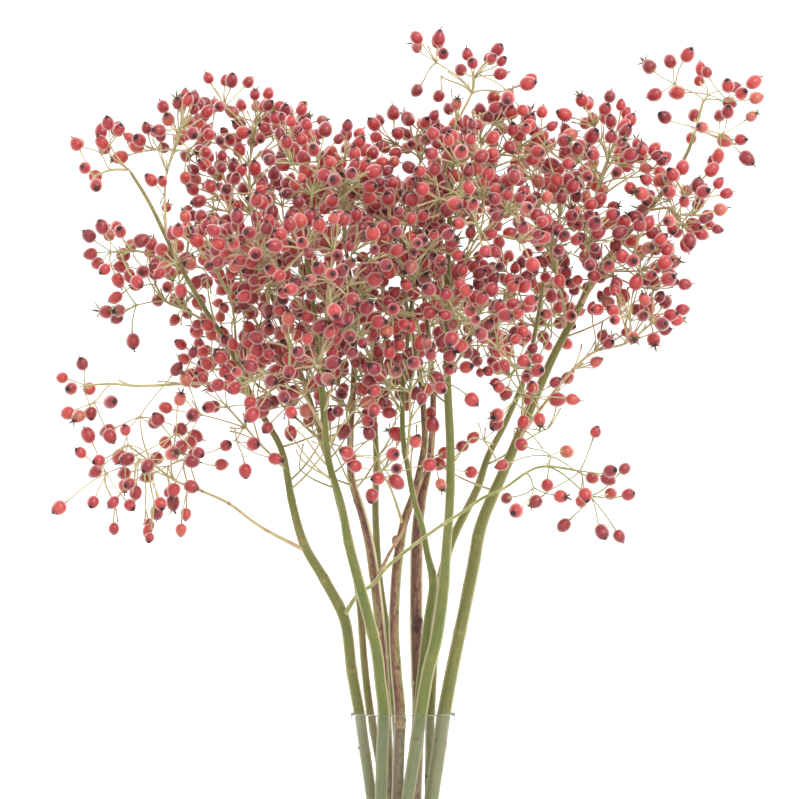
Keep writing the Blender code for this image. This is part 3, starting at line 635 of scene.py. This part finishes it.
def add_stub(shape, scars, row, way, radius, length, weathered):
    """What is left of a side shoot that was cut off, with its cut end."""
    start, end = row[:3] + way * row[3] * 0.3, row[:3] + way * (row[3] + length)
    share = np.linspace(0, 1, 9)[:, None]
    widths = radius * np.array([1.35, 1.28, 1.12, 1.02, 0.98, 1.0, 1.04, 1.04, 0.97])
    tube(shape, start + share * (end - start), widths, 12, 0.95)
    face = np.array([-0.3, 0.0, 0.16, 0.12, 0.02])
    tube(scars, end + np.outer(face * radius, way), radius * np.array([0.98, 0.94, 0.72, 0.4, 0.1]), 12,
         weathered + np.array([0.4, 0.3, -0.1, 0.05, 0.4]))


# --- the sprays

# How reddish each spray's twigs are where that differs from the others.
RUDDY = {"spray_07": 0.5, "spray_08": 0.2, "spray_44": 0.4, "spray_29": 0.75}


class Spray:
    """A spray while it is made: its random draws, the crowd that it grows in and its three pieces."""

    def __init__(self, name, crowd):
        self.name, self.crowd, self.rng = name, crowd, random.Random(name)
        self.twigs, self.hips, self.calyces = Shape(), Shape(), Shape()


def chain_of(knuckle):
    """The knuckles of a spray's axis, from the first to the last."""
    chain = [knuckle]
    while isinstance(chain[-1].arms.get(AHEAD), Knuckle):
        chain.append(chain[-1].arms[AHEAD])
    return chain


def density(point):
    """How dense the bunch is at a point: 1 in the middle of a tangle, 0 far from them all."""
    return max(math.exp(-((point[0] - x) / wide) ** 4 - ((point[2] - z) / high) ** 4)
               for (x, z), (wide, high) in TANGLES)


def stoutness(radius, point):
    """A stalk's radius: the stalks in the middle of the bunch are stouter."""
    return radius + STOUTER * density(point)


def add_knot(shape, place, way, radius, tone):
    """A joint's swelling."""
    share = np.array([-1.5, -0.8, -0.1, 0.5, 1.2])
    widths = radius * np.array([0.72, 1.02, 1.16, 1.0, 0.66])
    tube(shape, place + np.outer(share * radius, way), widths, 8, tone)


def add_blade(shape, start, way, curl, length, width, tone):
    """A thin pointed strip that curls over: a sepal or a bract."""
    share = np.linspace(0, 1, 6)[:, None]
    path = start + length * (share * way + share ** 2 * curl)
    widths = width * np.array([0.6, 1.0, 0.9, 0.66, 0.38, 0.05])
    tube(shape, path, widths, 4, tone, flat=0.22, across=unit(np.cross(way, curl) + 0.001))


def add_arch(spray, a, leave, b, arrive, widths, sides, tone, shades, start=None):
    """A curved stalk or shoot. The bark's pattern starts anywhere, unless start says where."""
    start = spray.rng.uniform(0, BARK_REPEAT) if start is None else start
    tones = tone + np.linspace(*shades, len(widths))
    tube(spray.twigs, arch(a, leave, b, arrive, len(widths)), widths, sides, tones, start)


def add_stalk(spray, knuckle, hip, tone):
    """A hip's stalk, and the direction in which it reaches the hip."""
    rng = spray.rng
    look = unit(hip.look + random_ball(rng) * 0.24 + 0.03 * UP)
    base = hip.middle - look * hip.radius * 0.98
    leave = unit(unit(base - knuckle.point) + random_ball(rng) * 0.35 + 0.3 * knuckle.ahead)
    widths = stoutness(STALK_RADIUS, knuckle.point) * np.array([1.25, 1.0, 0.95, 0.94, 1.0, 1.12, 1.6])
    widths = widths * rng.uniform(0.9, 1.12)
    add_arch(spray, knuckle.point, leave, base, look, widths, STALK_SIDES, tone, (-0.1, 0.15))
    return look


def add_hip(spray, hip, look, count=HIP_SIDES):
    """The fruit, and the dry remains of its flower at the end."""
    rng = spray.rng
    radius = hip.radius * rng.uniform(*HIP_FILL)
    length = radius * rng.uniform(*HIP_STRETCH)
    tone = rng.random()
    turns = np.linspace(0.12, math.pi - 0.33, 2 + count // 2)
    blunt = rng.uniform(0.82, 0.98)
    widths = radius * np.sin(turns) ** blunt * (1.0 + rng.uniform(-0.02, 0.2) * np.cos(turns))
    lean = rng.uniform(0, math.tau)
    sides = math.tau * np.arange(count) / count
    waves = rng.uniform(0.0, 0.035) * np.cos(2 * sides + lean)
    waves = waves + rng.uniform(0.0, 0.015) * np.cos(5 * sides)
    lumps = 1.0 + (DRY_WRINKLES if tone > DRY else 1.0) * waves
    path = hip.middle - np.outer(np.cos(turns) * length, look)
    before = len(spray.hips.skins)
    tube(spray.hips, path, widths[:, None] * lumps, count, tone, across=square_to(look))
    # on a fruit the skin's place is the place on a unit ball, from the stalk at -1 to the end at 1
    spray.hips.skins[before] = lathe(np.sin(turns), -np.cos(turns), count).reshape(-1, 3)
    add_calyx(spray, path[-1], look, radius, tone)


def add_calyx(spray, end, look, radius, tone):
    """The dark crown at a fruit's end: a low ring, often a dry tuft of styles, and now and then sepals."""
    rng, calyces = spray.rng, spray.calyces
    reach = CALYX_REACH * rng.uniform(0.8, 1.12) * radius
    dark = rng.uniform(0.0, 0.35)
    rise = np.array([-0.28, 0.08, 0.18, 0.02]) * reach
    tube(calyces, end + np.outer(rise, look), reach * np.array([1.0, 1.06, 0.78, 0.12]), 7, dark)
    kind = rng.random()
    if kind < STYLES_SHARE:
        long = rng.uniform(0.35, 1.5) * reach
        share = np.array([0.0, 0.6, 0.88, 1.0])
        lean = unit(look + random_ball(rng) * 0.3)
        widths = reach * rng.uniform(0.28, 0.46) * np.array([0.6, 0.6, 1.0, 0.4])
        tube(calyces, end + np.outer(share * (long + reach * 0.3), lean), widths, 5, dark + 0.1)
    if kind > NO_SEPALS_SHARE or tone > DRY:
        shade = 0.95 if rng.random() < 0.4 else 0.55
        across = square_to(look)
        side = np.cross(look, across)
        long = rng.uniform(0.7, 1.25) * radius
        turn = rng.uniform(0, math.tau)
        for i in range(5):
            a = turn + math.tau * i / 5 + rng.uniform(-0.2, 0.2)
            out = math.cos(a) * across + math.sin(a) * side
            way = unit(out + look * rng.uniform(0.4, 1.2))
            curl = (out * rng.uniform(0.2, 0.9) - look * rng.uniform(-0.3, 0.6)) * 0.6
            add_blade(calyces, end + out * reach * 0.85, way, curl, long * rng.uniform(0.7, 1.1),
                      radius * 0.17, shade + rng.uniform(-0.12, 0.12))


def add_bare_stalks(spray, knuckle, tone, wanted, lift=0.3, late_share=None):
    """Thin stalks that have lost their fruit, or bear a small late one, where there is room for them."""
    rng, crowd = spray.rng, spray.crowd
    for _ in range(BARE_STALK_TRIES):
        way = knuckle.ahead * rng.uniform(0.1, 1.0) + random_ball(rng) * 1.1
        way = unit(way + lift * UP)
        end = knuckle.point + way * rng.uniform(7.0, 22.0)
        if wanted and crowd.fits(knuckle.point, end, 0.1, knuckle.number):
            wanted -= 1
            leave = unit(way + random_ball(rng) * 0.3 + 0.3 * knuckle.ahead)
            arrive = unit(way + random_ball(rng) * 0.3)
            widths = rng.uniform(0.36, 0.5) * np.array([1.2, 0.95, 0.9, 1.0, 1.2])
            add_arch(spray, knuckle.point, leave, end, arrive, widths, BARE_SIDES, tone, (-0.15, 0.25))
            late = Hip(end - arrive * 0.3, arrive, rng.uniform(*LATE_RADIUS))
            share = float(np.interp(end[2], *LATE_CHANCES)) if late_share is None else late_share
            core = late.middle, late.middle + arrive * 0.1
            if rng.random() < share and crowd.fits(*core, late.radius + 0.3):
                crowd.add(*core, late.radius)
                add_hip(spray, late, arrive, LATE_SIDES)


def add_shoot(spray, start, leave, base, way, length, tone, owner, counts, **stalks):
    """A thin shoot that ends in a few stalks, if there is room for it from its base on."""
    rng = spray.rng
    tip = Knuckle(base + way * length, UMBEL_KNUCKLE, way, random_ball(rng))
    if spray.crowd.fits(base, tip.point, UMBEL_KNUCKLE, owner):
        meets = (tip.number if owner == NO_KNUCKLE else owner, tip.number)
        spray.crowd.add(base, tip.point, UMBEL_KNUCKLE, meets)
        arrive = unit(way + random_ball(rng) * 0.4)
        widths = UMBEL_RADIUS * np.linspace(1.6, 0.95, 9)
        add_arch(spray, start, leave, tip.point, arrive, widths, STALK_SIDES, tone, (0.0, 0.1), 0.0)
        add_bare_stalks(spray, tip, tone, rng.choice(counts), **stalks)


def add_wisps(spray, course, highest, tone):
    """Thin forked shoots on the cane below a spray, with few fruits or none."""
    rng = spray.rng
    for _ in range(WISP_TRIES):
        row = at_height(course, rng.uniform(WISP_LOWEST, highest))[0]
        out = compass(rng.uniform(0, math.tau))
        way = unit(out + rng.uniform(0.2, 1.4) * UP)
        add_shoot(spray, row[:3], unit(way + 0.6 * out), row[:3] + out * (row[3] + 2.0), way,
                  rng.uniform(18.0, 42.0), tone, NO_KNUCKLE, (1, 2, 2, 3))


def add_branchlet(spray, knuckle, arm, tone):
    """A twig from one knuckle to another, now and then with a bract, and all that it carries."""
    rng = spray.rng
    way = unit(arm.point - knuckle.point)
    leave = unit(way + 0.5 * knuckle.ahead + random_ball(rng) * 0.2)
    arrive = unit(way + random_ball(rng) * 0.25)
    widths = stoutness(UMBEL_RADIUS, knuckle.point) * rng.uniform(0.92, 1.16) * np.linspace(1.1, 0.86, 9)
    widths[0] *= 1.35
    add_arch(spray, knuckle.point, leave, arm.point, arrive, widths, STALK_SIDES, tone, (0.05, 0.1))
    add_knot(spray.twigs, arm.point, way, UMBEL_KNUCKLE * 0.85, tone + 0.3)
    if rng.random() < BRACT_SHARE:
        out = unit(square_to(way) + random_ball(rng) * 0.8)
        add_blade(spray.twigs, arm.point + out * 0.5, unit(out + way), out * 0.3, rng.uniform(1.8, 3.6), 0.42,
                  tone + 0.45)
    add_umbel(spray, arm, tone + 0.02)


def add_umbel(spray, knuckle, tone):
    """Everything that a knuckle carries, apart from the axis that goes on through it."""
    rng, place = spray.rng, knuckle.point
    add_bare_stalks(spray, knuckle, tone, round(rng.uniform(0.5, 1.0) * BARE_STALKS * density(place)))
    if place[2] < HANG_BELOW.get(spray.name, 0.0) and len(knuckle.arms) > 2:
        way = unit(np.array([rng.uniform(-0.3, 0.3), rng.uniform(-0.3, 0.3), -1.0]))
        add_shoot(spray, place, unit(way + knuckle.ahead), place, way, rng.uniform(17.0, 24.0), tone,
                  knuckle.number, (2, 2, 3), lift=-2.0, late_share=1.0)
    for octant, arm in knuckle.arms.items():
        if isinstance(arm, Hip):
            add_hip(spray, arm, add_stalk(spray, knuckle, arm, tone))
        elif octant != AHEAD:
            add_branchlet(spray, knuckle, arm, tone)


def make_spray(name, knuckle, row, cane, crowd):
    """A spray as three pieces: its twigs, its fruits and their dry ends."""
    spray = Spray(name, crowd)
    rng, (_, height, _, head, spread, *_) = spray.rng, row
    tone = RUDDY.get(name, rng.uniform(0.22, 0.44)) + 0.15 * density(head)
    chain = chain_of(knuckle)
    for _ in range(BARE_TRIES):
        if rng.random() < density(head):
            grow_branchlet(crowd, rng, chain, head, spread)
    start = cane[-1] if height is None else at_height(cane, height - FORK_DROP)[0]
    out = unit(knuckle.point - start[:3])
    skip = height is not None and len(knuckle.arms) == 1
    points = [(*k.point, k.radius * TWIG_FILL) for k in chain[skip:]]
    if height is None:
        root = [(*(start[:3] - out * 4.0), start[3]), (*start[:3], start[3])]
    else:
        root = [(*start[:3], points[0][3] * 1.35)]
    course = smooth_path([*root, *points], TWIG_COURSE_STEP)
    tones = tone + np.linspace(0.12, 0.0, len(course))
    tube(spray.twigs, course[:, :3], course[:, 3], TWIG_SIDES, tones, start=rng.uniform(0, BARK_REPEAT))
    for i, joint in enumerate(chain):
        if i and (len(joint.arms) > 1 or i % 3 == 0):
            add_knot(spray.twigs, joint.point, joint.ahead, joint.radius * 0.86, tone + 0.28)
        add_umbel(spray, joint, tone)
    if height is not None and height > WISP_LOWEST:
        add_wisps(spray, cane, height - 12.0, tone)
    spray.twigs.make(name + "_twigs", TWIG, "hip_twig", name)
    spray.hips.make(name + "_hips", FRUIT, "rose_hip", name)
    spray.calyces.make(name + "_calyces", CALYX, "dry_calyx", name)


# --- materials

SEED_SPREAD = 37.0  # times a hip's tone: its own place in the noise
BARK_SHEEN = (254, 248, 206)
BEHIND_GLASS_HEIGHTS = (0.19, 0.205)  # in metres: below, behind the glass, the bark gets a painted veil of light and drops with painted glints; above, neither
GLASS_INDEX = 1.28  # less than glass has, so that the canes are seen less bent


def srgb(red, green, blue):
    """A colour given in 0 to 255 as the light that it stands for."""
    parts = [c / 255 for c in (red, green, blue)]
    return (*(c / 12.92 if c < 0.04 else ((c + 0.055) / 1.055) ** 2.4 for c in parts), 1.0)


class Nodes:
    """Short ways to add nodes to a tree."""

    def __init__(self, tree):
        self.tree = tree

    def feed(self, socket, value):
        if isinstance(value, bpy.types.NodeSocket):
            self.tree.links.new(value, socket)
        else:
            socket.default_value = value

    def node(self, kind, inputs=(), **settings):
        made = self.tree.nodes.new("ShaderNode" + kind)
        for name, value in settings.items():
            setattr(made, name, value)
        for socket, value in dict(inputs).items():
            self.feed(made.inputs[socket], value)
        return made

    def maths(self, operation, a, b):
        return self.node("Math", {0: a, 1: b}, operation=operation).outputs[0]

    def span(self, value, low, high, to_low=0.0, to_high=1.0):
        inputs = {"Value": value, "From Min": low, "From Max": high, "To Min": to_low, "To Max": to_high}
        return self.node("MapRange", inputs).outputs[0]

    def coordinate(self, kind):
        return self.node("TexCoord").outputs[kind]

    def part(self, vector, axis):
        return self.node("SeparateXYZ", {0: vector}).outputs[axis]


class Paint(Nodes):
    """A material, and short ways to feed its shader. Ramp and tint take colours in 0 to 255."""

    def __init__(self, name, **values):
        self.material = bpy.data.materials.new(name)
        self.material.use_nodes = True
        super().__init__(self.material.node_tree)
        self.sockets = self.tree.nodes["Principled BSDF"].inputs
        for socket, value in values.items():
            self.sockets[socket.replace("_", " ")].default_value = value

    def skin(self, stretch=(1, 1, 1)):
        """The place on the unrolled skin."""
        found = self.node("Attribute", attribute_name="skin").outputs["Vector"]
        return self.node("Mapping", {"Vector": found, "Scale": stretch}).outputs[0]

    def tone(self):
        return self.node("Attribute", attribute_name="tone").outputs["Fac"]

    def noise(self, place, scale, detail=2.0, seed=None):
        inputs = {"Vector": place, "Scale": scale, "Detail": detail}
        if seed is not None:
            inputs["W"] = self.maths("MULTIPLY", seed, SEED_SPREAD)
        return self.node("TexNoise", inputs, noise_dimensions="3D" if seed is None else "4D").outputs[0]

    def vary(self, value, noise, low, high, by):
        """The value, less or more by so much where the noise is low or high."""
        return self.maths("ADD", value, self.span(noise, low, high, -by, by))

    def ramp(self, value, *stops):
        made = self.node("ValToRGB", {0: value})
        parts = made.color_ramp.elements
        while len(parts) < len(stops):
            parts.new(0.5)
        for part, (place, *colour) in zip(parts, stops):
            part.position, part.color = place, srgb(*colour)
        return made.outputs[0]

    def mix(self, share, a, b, blend="MIX"):
        return self.node("Mix", {0: share, 6: a, 7: b}, data_type="RGBA", blend_type=blend).outputs[2]

    def tint(self, colour, value, low, high, share, other):
        """The colour with up to a share of another, which comes in as the value goes from low to high."""
        return self.mix(self.span(value, low, high, 0.0, share), colour, srgb(*other))

    def finish(self, colour, height, distance, strength, glow=None, roughness=None):
        """Feeds the shader. The glow is a sheen that grows towards the outline, as on fine down."""
        self.feed(self.sockets["Base Color"], colour)
        bump = self.node("Bump", {"Height": height, "Distance": distance, "Strength": strength})
        self.feed(self.sockets["Normal"], bump.outputs[0])
        if glow:
            facing = self.node("LayerWeight", {"Blend": 0.5}).outputs["Facing"]
            self.feed(self.sockets["Sheen Weight"], self.span(facing, *glow))
        if roughness:
            self.feed(self.sockets["Roughness"], roughness)
        return self.material


def paint_fruit():
    """Satin skin: each fruit its own crimson, faintly mottled, purple round the crown, a few over-ripe."""
    paint = Paint("hip_skin", Roughness=0.4, Sheen_Roughness=0.55, Sheen_Tint=srgb(255, 232, 228),
                  Coat_Weight=0.4, Coat_Roughness=0.3, Subsurface_Weight=0.15, Subsurface_Scale=0.002)
    tone, skin = paint.tone(), paint.skin()
    red = paint.ramp(tone, (0.0, 116, 22, 38), (0.3, 150, 33, 46), (0.6, 174, 43, 50), (0.9, 192, 62, 60),
                     (0.95, 198, 90, 78), (0.965, 186, 108, 84), (1.0, 152, 84, 76))
    cloud = paint.noise(skin, 1.3, 3.0, tone)
    red = paint.tint(red, cloud, 0.35, 0.7, 0.28, (222, 104, 92))
    fleck = paint.noise(skin, 9.0, 2.0, tone)
    red = paint.tint(red, fleck, 0.62, 0.7, 0.4, (136, 28, 42))
    end = paint.part(skin, 2)
    red = paint.tint(red, end, 0.55, 0.97, 0.75, (92, 24, 40))
    red = paint.tint(red, end, -0.88, -1.0, 0.5, (190, 132, 90))
    return paint.finish(red, fleck, 0.0003, 0.25, (0.26, 0.44), paint.span(cloud, 0.3, 0.7, 0.32, 0.48))


def paint_bark(name, green, olive, tan, brown, fleck, blotch):
    """Bark that turns from green through olive to brown, streaked along the stem, with pale stripes of
    painted highlight.
    """
    paint = Paint(name, Roughness=0.5, Sheen_Roughness=0.55, Sheen_Tint=srgb(*BARK_SHEEN))
    streak = paint.noise(paint.skin((1.0, 1.0, 0.06)), 0.9, 4.0)
    patch = paint.noise(paint.skin((0.2, 0.2, 0.05)), 1.0, 3.0)
    grain = paint.noise(paint.skin((1.0, 1.0, 0.16)), 4.0, 3.0)
    dots = paint.noise(paint.skin((1.0, 1.0, 0.45)), 2.2, 1.0)
    scar = paint.noise(paint.skin((1.0, 1.0, 0.28)), 1.0, 5.0)
    drop_glints = paint.noise(paint.skin(), 1.6, 2.0)
    tone = paint.tone()
    age = paint.vary(paint.maths("MINIMUM", tone, 1.0), streak, 0.25, 0.75, 0.16)
    age = paint.vary(age, patch, 0.3, 0.7, 0.14)
    colour = paint.ramp(age, (0.0, *green), (0.4, *olive), (0.58, *tan), (0.82, *brown))
    colour = paint.mix(paint.span(grain, 0.35, 0.7, 0.0, 0.35), colour, (0.5, 0.5, 0.5, 1.0), "OVERLAY")
    colour = paint.tint(colour, dots, 0.7, 0.74, 0.4, fleck)
    colour = paint.tint(colour, scar, 0.52, 0.62, blotch, (72, 46, 46))
    # painted highlight: a tone above 1 turns the bark pale cream along the stripes
    colour = paint.tint(colour, tone, 1.0, HIGHLIGHT_TONE, 0.95, (240, 235, 192))
    # painted light: behind the glass the bark is paler, a painted veil such as the glass lays over it, and it
    # carries small water drops whose pale spots are painted glints
    behind_glass = paint.span(paint.part(paint.coordinate("Object"), 2), *BEHIND_GLASS_HEIGHTS, 1.0, 0.0)
    colour = paint.mix(paint.maths("MULTIPLY", behind_glass, 0.2), colour, srgb(196, 200, 168))
    # water drops on the bark, their paleness a painted glint
    drop_glints = paint.maths("MULTIPLY", behind_glass, paint.span(drop_glints, 0.66, 0.7, 0.0, 0.5))
    colour = paint.mix(drop_glints, colour, srgb(236, 240, 214))
    return paint.finish(colour, paint.maths("ADD", grain, dots), 0.0004, 0.4, (0.15, 0.45),
                        paint.span(grain, 0.3, 0.7, 0.42, 0.62))


def paint_twig():
    """Thin bark of the twigs and stalks, olive to ruddy."""
    paint = Paint("twig_bark", Roughness=0.5, Sheen_Roughness=0.55, Sheen_Tint=srgb(*BARK_SHEEN))
    streak = paint.noise(paint.skin((1.0, 1.0, 0.1)), 1.1, 3.0)
    patch = paint.noise(paint.skin((0.1, 0.1, 0.1)), 1.0, 2.0)
    age = paint.vary(paint.vary(paint.tone(), streak, 0.3, 0.7, 0.15), patch, 0.3, 0.7, 0.18)
    colour = paint.ramp(age, (0.0, 114, 128, 62), (0.3, 154, 156, 94), (0.55, 200, 186, 138),
                        (0.78, 180, 138, 108), (1.0, 122, 76, 64))
    return paint.finish(colour, streak, 0.0003, 0.4, (0.05, 0.35))


def paint_dry(name, scale, distance, strength, *stops, **values):
    """Dry, crumbly matter, whose colour goes by its tone."""
    paint = Paint(name, **values)
    crumb = paint.noise(paint.skin(), scale, 3.0)
    colour = paint.ramp(paint.vary(paint.tone(), crumb, 0.3, 0.7, 0.12), *stops)
    return paint.finish(colour, crumb, distance, strength)


def paint_glass():
    """Clear glass, a little wavy, as blown or drawn glass is."""
    paint = Paint("vase_glass", Roughness=0.02, Transmission_Weight=1.0, IOR=GLASS_INDEX)
    wave = paint.noise(paint.skin((0.02, 0.02, 0.01)), 1.0, 1.0)
    smear = paint.noise(paint.skin((0.05, 0.05, 0.03)), 2.0, 4.0)
    colour = paint.tint(srgb(255, 255, 255), smear, 0.4, 0.7, 1.0, (253, 254, 254))
    height = paint.part(paint.coordinate("Object"), 2)
    lip = paint.span(height, (VASE_HEIGHT - 1.0) * MM, (VASE_HEIGHT - 0.4) * MM, 0.0, 0.3)
    rough = paint.maths("ADD", lip, paint.span(smear, 0.45, 0.75, 0.0, 0.06))
    return paint.finish(colour, wave, 0.0006, 0.2, roughness=rough)


def paint_floor():
    """Matt white paint, very slightly uneven."""
    paint = Paint("floor_paint", Roughness=0.8)
    cloud = paint.noise(paint.coordinate("Object"), 3.0, 3.0)
    colour = paint.tint(srgb(218, 218, 216), cloud, 0.3, 0.7, 1.0, (212, 212, 210))
    paint.feed(paint.sockets["Base Color"], colour)
    return paint.material


FRUIT, TWIG = paint_fruit(), paint_twig()
# flower remains: dark purple-brown, brown, or the odd green sepal
CALYX = paint_dry("calyx_dry", 2.2, 0.0004, 0.6, (0.0, 56, 28, 34), (0.3, 88, 50, 50), (0.6, 146, 112, 86),
                  (0.78, 158, 134, 98), (0.92, 112, 122, 70),
                  Roughness=0.8, Sheen_Weight=0.05, Sheen_Roughness=0.6)
# the cut end of a shoot: pale wood with a darker rim and pith
CUT = paint_dry("cut_wood", 3.0, 0.0003, 0.5, (0.0, 186, 160, 124), (0.4, 150, 116, 88), (0.8, 78, 50, 50),
                Roughness=0.7)
BARK = {
    "green_bark": paint_bark("green_cane", (100, 112, 50), (124, 128, 64), (166, 156, 102),
                             (120, 90, 66), (214, 212, 170), 0.15),
    "olive_bark": paint_bark("olive_cane", (102, 110, 50), (128, 128, 68), (158, 142, 94),
                             (124, 92, 68), (214, 208, 170), 0.2),
    "brown_bark": paint_bark("brown_cane", (118, 122, 64), (148, 140, 88), (158, 122, 92),
                             (122, 82, 68), (196, 168, 138), 0.85),
}


# --- the vase

VASE_TURNS = 96
WALL_STEPS = 14
FOOT_CUT = np.array([[0, 0, -0.2], [0, 0, 0.1]])  # the pale cut end under a cane


def vase_section():
    """Half the vase's section from the middle of its underside round to the middle of its floor."""
    def corner(x, z, radius, first, last, steps=6):
        turns = np.radians(np.linspace(first, last, steps))
        return np.column_stack([x + radius * np.cos(turns), z + radius * np.sin(turns)])

    inside = VASE_RADIUS - VASE_WALL
    wall = np.linspace(12, VASE_HEIGHT - 8, WALL_STEPS)
    return np.vstack([
        [(0.01, 0.4), (12.0, 0.3), (20.0, 0.1), (24.0, 0.0)],
        corner(VASE_RADIUS - 1.5, 1.5, 1.5, -90, 0),
        np.column_stack([np.full(WALL_STEPS, VASE_RADIUS), wall]),
        corner(VASE_RADIUS - 0.75, VASE_HEIGHT - 0.75, 0.75, 0, 180, 9),
        np.column_stack([np.full(WALL_STEPS, inside), wall[::-1] + 6.0]),
        corner(inside - 3.0, VASE_BASE + 3.0, 3.0, 0, -90),
        [(16.0, VASE_BASE), (8.0, VASE_BASE), (0.01, VASE_BASE)],
    ])


def make_vase():
    """The vase: its section turned round the vertical axis."""
    section = vase_section()
    rings = lathe(section[:, 0], section[:, 1], VASE_TURNS)
    shape = Shape()
    shape.add(rings, rings, 0.0)
    shape.make("vase", paint_glass(), "clear_glass", "glass_vase")


def make_bunch():
    """All the canes with their cuts and buds, and all the sprays."""
    canes, sprays, crowd = grow_bunch()
    slots = {part["node"]: part["material_slot"] for part in frame["record"]["subparts"]}
    courses = {name: cane_course(*found) for name, found in canes.items()}
    scars = Shape()
    for name, course in courses.items():
        shape = Shape()
        leaving = [row[1] for row in SPRAYS if row[0] == name and row[1]]
        make_cane(name, course, [*CANE_LOOKS[name][0], *leaving], shape, scars)
        tube(scars, course[0, :3] + FOOT_CUT, np.full(2, course[0, 3] * 0.96), 12, 0.25)
        shape.make(name + "_bark", BARK[slots[name]], slots[name], name)
    scars.make("buds_and_cuts", CUT, "brown_bark", *canes)
    for (name, knuckle), row in zip(sprays.items(), SPRAYS):
        make_spray(name, knuckle, row, courses[row[0]], crowd)


# --- the studio

CAMERA_HEIGHT = 0.300
CAMERA_REACH = 2.15
VIEW_MIDDLE = (-0.002, 0.0, 0.3794)
VIEW_WIDTH = 0.4586  # at the vase
SENSOR = 36.0
FRONT_GLOW, BACK_GLOW = 0.9, 1.45  # the white surroundings are brighter behind the bunch
GLOW_RISE = (-0.8, 0.6)  # from front to back, as a direction's y
# Soft lights: place, size, power and colour.
LIGHTS = [((0.9, -1.7, 1.5), 0.9, 24.0, (1.0, 0.98, 0.95)),
          ((-1.5, 1.1, 1.5), 1.2, 14.0, (1.0, 1.0, 1.0)), ((1.5, 1.1, 1.5), 1.2, 14.0, (1.0, 1.0, 1.0))]


def add_light(place, size, power, colour):
    """A soft square light that looks at the bunch."""
    light = bpy.data.lights.new("soft_light", "AREA")
    light.size, light.energy, light.color = size, power, colour
    lamp = bpy.data.objects.new("soft_light", light)
    lamp.location = place
    lamp.rotation_euler = (Vector(VIEW_MIDDLE) - lamp.location).to_track_quat("-Z", "Y").to_euler()
    bpy.context.scene.collection.objects.link(lamp)


def make_studio():
    """A white floor, white surroundings, three soft lights and the camera."""
    scene = bpy.context.scene
    bpy.ops.mesh.primitive_circle_add(vertices=96, radius=2.0, fill_type="NGON", location=(0, 0, 0))
    floor = bpy.context.object
    floor.name = "floor"
    floor.data.materials.append(paint_floor())
    world = bpy.data.worlds.new("white_studio")
    world.use_nodes = True
    background = world.node_tree.nodes["Background"]
    background.inputs["Color"].default_value = (1.0, 1.0, 1.0, 1.0)
    nodes = Nodes(world.node_tree)
    depth = nodes.part(nodes.coordinate("Generated"), 1)
    nodes.feed(background.inputs["Strength"], nodes.span(depth, *GLOW_RISE, FRONT_GLOW, BACK_GLOW))
    scene.world = world
    for light in LIGHTS:
        add_light(*light)
    scene.view_settings.view_transform = "Standard"
    view = bpy.data.cameras.new("view")
    view.sensor_width = SENSOR
    camera = bpy.data.objects.new("view", view)
    camera.location = (VIEW_MIDDLE[0], -CAMERA_REACH, CAMERA_HEIGHT)
    aim = Vector(VIEW_MIDDLE) - camera.location
    view.lens = SENSOR * aim.length / VIEW_WIDTH
    camera.rotation_euler = aim.to_track_quat("-Z", "Y").to_euler()
    scene.collection.objects.link(camera)
    scene.camera = camera


make_vase()
make_bunch()
make_studio()
